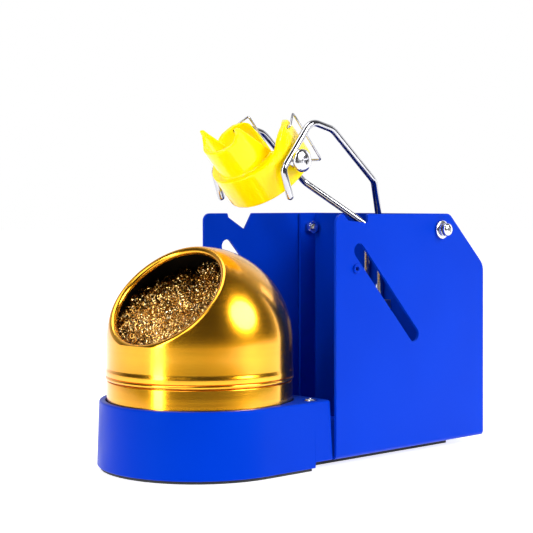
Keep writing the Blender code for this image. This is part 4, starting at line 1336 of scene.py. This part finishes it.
def buildDome():
    s = cleanerSettings
    outer = s["domeRadius"]
    wall = s["domeWall"]
    inner = outer - wall
    neck = s["cupRadius"] - s["cupWall"] - s["neckPlay"]
    hem = domeLow.z + s["neckDepth"]
    count = s["around"]
    across = s["across"]
    lip = s["lipRound"]
    start = math.atan2(mouthLevel.y, mouthLevel.x)
    sideMouth = Vector((0, 0, 1)).cross(mouthLevel)
    downMouth = mouthAxis.cross(sideMouth).normalized()
    if downMouth.z > 0:
        downMouth = -downMouth
    lipAngle = math.acos(s["mouthDistance"] / outer) + lip / outer * 0.9
    bm = bmesh.new()

    def equator(i):
        turn = start + 2 * math.pi * i / count
        return Vector((math.cos(turn), math.sin(turn), 0))

    def mouthSpoke(i):
        # straight out from the mouth's axis, starting at its lowest point
        turn = 2 * math.pi * i / count
        return downMouth * math.cos(turn) + sideMouth * math.sin(turn)

    def levelRing(radius, z):
        return [bm.verts.new(Vector((domeCentre.x, 0, z)) + equator(i) * radius) for i in range(count)]

    def sphereRing(radius, share, angle):
        # share 0 lies round the mouth, share 1 round the ball's middle
        ring = []
        for i in range(count):
            edge = mouthAxis * math.cos(angle) + mouthSpoke(i) * math.sin(angle)
            foot = equator(i)
            sweep = edge.angle(foot)
            spoke = foot
            if sweep >= 1e-5:
                spoke = edge * math.sin((1 - share) * sweep) + foot * math.sin(share * sweep)
            ring.append(bm.verts.new(domeCentre + spoke.normalized() * radius))
        return ring

    def lipRing(turn):
        # the lip rolls in from the ball's surface round a small circle
        ring = []
        for i in range(count):
            spoke = mouthSpoke(i)
            radial = mouthAxis * math.cos(lipAngle) + spoke * math.sin(lipAngle)
            along = mouthAxis * math.sin(lipAngle) - spoke * math.cos(lipAngle)
            core = domeCentre + radial * (outer - lip)
            ring.append(bm.verts.new(core + radial * lip * math.cos(turn) + along * lip * math.sin(turn)))
        return ring

    # hem: a small rolled bead, a shallow groove, then the straight side
    bead = s["hemBead"]
    rings = [levelRing(neck - wall, domeLow.z), levelRing(neck, domeLow.z), levelRing(neck, hem)]
    for radius, z in arcPoints((outer - bead + 0.45 * mm, hem + bead), bead, -90, 90, 12):
        rings.append(levelRing(radius, z))
    rings.append(levelRing(outer + 0.22 * mm, hem + 2 * bead + 0.1 * mm))
    rings += [levelRing(outer + out * mm, s["bandTop"] + z * mm) for out, z in s["band"]]
    rings.append(levelRing(outer, s["domeCentre"] - 5 * mm))
    rings += [sphereRing(outer, k / across, lipAngle) for k in range(across, -1, -1)]
    steps = s["lipSteps"]
    rings += [lipRing(math.radians(s["lipTurn"] * k / steps)) for k in range(1, steps + 1)]
    lining = [sphereRing(inner, k / across, lipAngle + 0.03) for k in range(across + 1)]
    rings += lining + [levelRing(inner, hem + 2.2 * mm), levelRing(neck - wall, hem)]
    joinRings(bm, rings, closed=True)
    bm.verts.index_update()
    # the lining faces take the near-black painted shade
    firstLining = lining[0][0].index
    for face in bm.faces:
        if min(v.index for v in face.verts) >= firstLining:
            face.material_index = 1
    bmesh.ops.recalc_face_normals(bm, faces=bm.faces)
    dome = addPiece("spunDome", bm, goldSkin, smooth=50)
    dome.data.materials.append(liningShade)
    finishPiece(dome, "dome", "cleaner_dome")


buildCup()
buildDome()
print("cup and dome made")


# brass wool: a lumpy heart and several hundred curled ribbons over it
woolSettings = {
    "planeOut": 17.5 * mm,               # where the wool's sloping top meets the mouth's axis
    "planeLean": 62.0,
    "reach": 36.3 * mm,                  # as far as the wool may go from the ball's middle
    "lumps": 0.96 * mm,
    "lumpRate": 210.0,
    "around": 128,
    "rows": 46,
    "rimGap": 1.2 * mm,
    "heartDrop": 1.6 * mm,
    "underGap": 1.3 * mm,
    "sideGap": 3.4 * mm,
    "shoulder": 40 * mm,
}
curlSettings = {
    "seed": 7,
    "curls": 620,
    "points": 52,
    "pointsPerTurn": 12.0,
    "ribbonWidth": 0.40 * mm,
    "widths": (0.55, 1.1),
    "ribbonThick": 0.12 * mm,
    "coil": (0.8 * mm, 1.6 * mm),
    "pitch": (1.5 * mm, 3.2 * mm),
    "pull": (0.8, 1.3),                  # how far a curl is drawn out
    "wander": 90,                        # how fast its path bends
    "tilt": 0.35,
    "height": (-0.8, 1.5),               # in mm over the heart
    "stray": 3.4 * mm,                   # a few stand this much higher
    "sink": 0.6 * mm,
    "spread": 0.97,
    "flatten": 0.85,
    "uneven": 0.25,
}
leanUp = math.radians(woolSettings["planeLean"])
woolUp = mouthLevel * math.cos(leanUp) + Vector((0, 0, math.sin(leanUp)))
woolAcross = woolUp.cross(Vector((0, 0, 1))).normalized()
woolAlong = woolAcross.cross(woolUp).normalized()
woolFoot = domeCentre + mouthAxis * woolSettings["planeOut"]
woolMiddle = domeCentre + woolUp * woolUp.dot(woolFoot - domeCentre)
woolRadius = math.sqrt(woolSettings["reach"] ** 2 - (woolMiddle - domeCentre).length_squared)


def lump(u, v):
    # gentle hills over the wool's surface
    a = woolSettings["lumpRate"]
    hills = math.sin(a * u + 1.3) * math.cos(a * 1.3 * v) + 0.6 * math.sin(2.1 * a * u - 1.7 * a * v + 0.5)
    return hills * woolSettings["lumps"]


def buildWoolHeart():
    s = woolSettings
    count = s["around"]
    low = cupLow.z + s["underGap"]
    side = cleanerSettings["cupRadius"] - s["sideGap"]
    bm = bmesh.new()
    rings = [[bm.verts.new((cleanerAxis.x, 0, low))]]
    for radius, z in ((side - 3 * mm, low), (side, low + 3 * mm), (side, s["shoulder"])):
        rings.append(ringAround(bm, radius, z, count, (cleanerAxis.x, 0.0)))
    # up the inside of the dome to the sloping top, then in to its middle
    spokes = []
    for i in range(count):
        turn = 2 * math.pi * i / count
        level = Vector((math.cos(turn), math.sin(turn), 0))
        spokes.append((woolAcross * level.dot(woolAcross) + woolAlong * level.dot(woolAlong)).normalized())
    rim = woolRadius - s["rimGap"]
    for k in range(s["rows"]):
        share = 1 - k / s["rows"]
        fade = min(1.0, (1 - share) * 6)
        ring = []
        for spoke in spokes:
            u = spoke.dot(woolAcross) * rim * share
            v = spoke.dot(woolAlong) * rim * share
            rise = lump(u, v) * fade - s["heartDrop"]
            ring.append(bm.verts.new(woolMiddle + spoke * rim * share + woolUp * rise))
        rings.append(ring)
    rings.append([bm.verts.new(woolMiddle + woolUp * (lump(0, 0) - s["heartDrop"]))])
    joinRings(bm, rings)
    bmesh.ops.recalc_face_normals(bm, faces=bm.faces)
    # the heart takes the dark brass of painted shade
    heart = addPiece("woolHeart", bm, woolHeartShade, smooth=60)
    finishPiece(heart, "cleaner", "cleaning_wool")


def unitRows(rows):
    return rows / np.linalg.norm(rows, axis=1)[:, None]


def curlCorners(rng):
    # one ribbon: a coil along a path that wanders over the hills, three corners to each point
    s = curlSettings
    up, across, along, middle = [np.array(v) for v in (woolUp, woolAcross, woolAlong, woolMiddle)]
    count = s["points"]
    k = np.arange(count)
    radius = woolRadius * math.sqrt(rng.random()) * s["spread"]
    turn = rng.uniform(0, 2 * math.pi)
    heading = rng.uniform(0, 2 * math.pi)
    wander = rng.normal(0, s["wander"])
    coil = rng.uniform(*s["coil"])
    step = rng.uniform(*s["pitch"]) / s["pointsPerTurn"] * rng.uniform(*s["pull"])
    height = rng.uniform(*s["height"]) * mm + rng.random() ** 5 * s["stray"]
    tilt = rng.normal(0, s["tilt"])
    angle = heading + wander * step * k
    us = np.cumsum(np.cos(angle)) * step
    vs = np.cumsum(np.sin(angle)) * step
    us += radius * math.cos(turn) - us.mean()
    vs += radius * math.sin(turn) - vs.mean()
    hs = np.array([lump(u, v) for u, v in zip(us, vs)]) + height + tilt * (k - count / 2) * step - s["sink"]
    path = middle + np.outer(us, across) + np.outer(vs, along) + np.outer(hs, up)
    tangent = unitRows(np.gradient(path, axis=0))
    first = unitRows(np.cross(tangent, up))
    second = np.cross(first, tangent)
    phase = rng.uniform(0, 6.28) + 2 * math.pi * k / s["pointsPerTurn"] * rng.choice((-1, 1))
    size = coil * (1 + s["uneven"] * np.sin(k * 0.7 + rng.uniform(0, 6)))
    radial = np.cos(phase)[:, None] * first + s["flatten"] * np.sin(phase)[:, None] * second
    line = path + radial * size[:, None]
    half = tangent * 0.5 * s["ribbonWidth"] * rng.uniform(*s["widths"])
    thin = unitRows(radial) * 0.5 * s["ribbonThick"]
    return np.stack([line + half + thin, line - half + thin, line - thin], axis=1).reshape(-1, 3)


def buildWoolCurls():
    rng = np.random.default_rng(curlSettings["seed"])
    reach = woolSettings["reach"]
    count = curlSettings["points"]
    places = []
    faces = []
    for n in range(curlSettings["curls"]):
        block = curlCorners(rng)
        # nothing reaches the dome's wall
        away = block - np.array(domeCentre)
        away[:, 2] = np.maximum(away[:, 2], 0)
        far = np.linalg.norm(away, axis=1)
        over = far > reach
        block[over] -= away[over] * (1 - reach / far[over])[:, None]
        places.append(block)
        start = n * 3 * count
        last = start + 3 * (count - 1)
        for a in range(start, last, 3):
            for c, d in ((0, 1), (1, 2), (2, 0)):
                faces.append((a + c, a + d, a + 3 + d, a + 3 + c))
        faces.append((start + 2, start + 1, start))
        faces.append((last, last + 1, last + 2))
    mesh = bpy.data.meshes.new("woolCurls")
    mesh.from_pydata(np.concatenate(places).tolist(), [], faces)
    mesh.materials.append(brassCurl)
    mesh.shade_smooth()
    mesh.set_sharp_from_angle(angle=math.radians(60))
    curls = bpy.data.objects.new("woolCurls", mesh)
    bpy.context.scene.collection.objects.link(curls)
    finishPiece(curls, "cleaner", "cleaning_wool")
    print("wool has", len(faces), "faces")


buildWoolHeart()
buildWoolCurls()
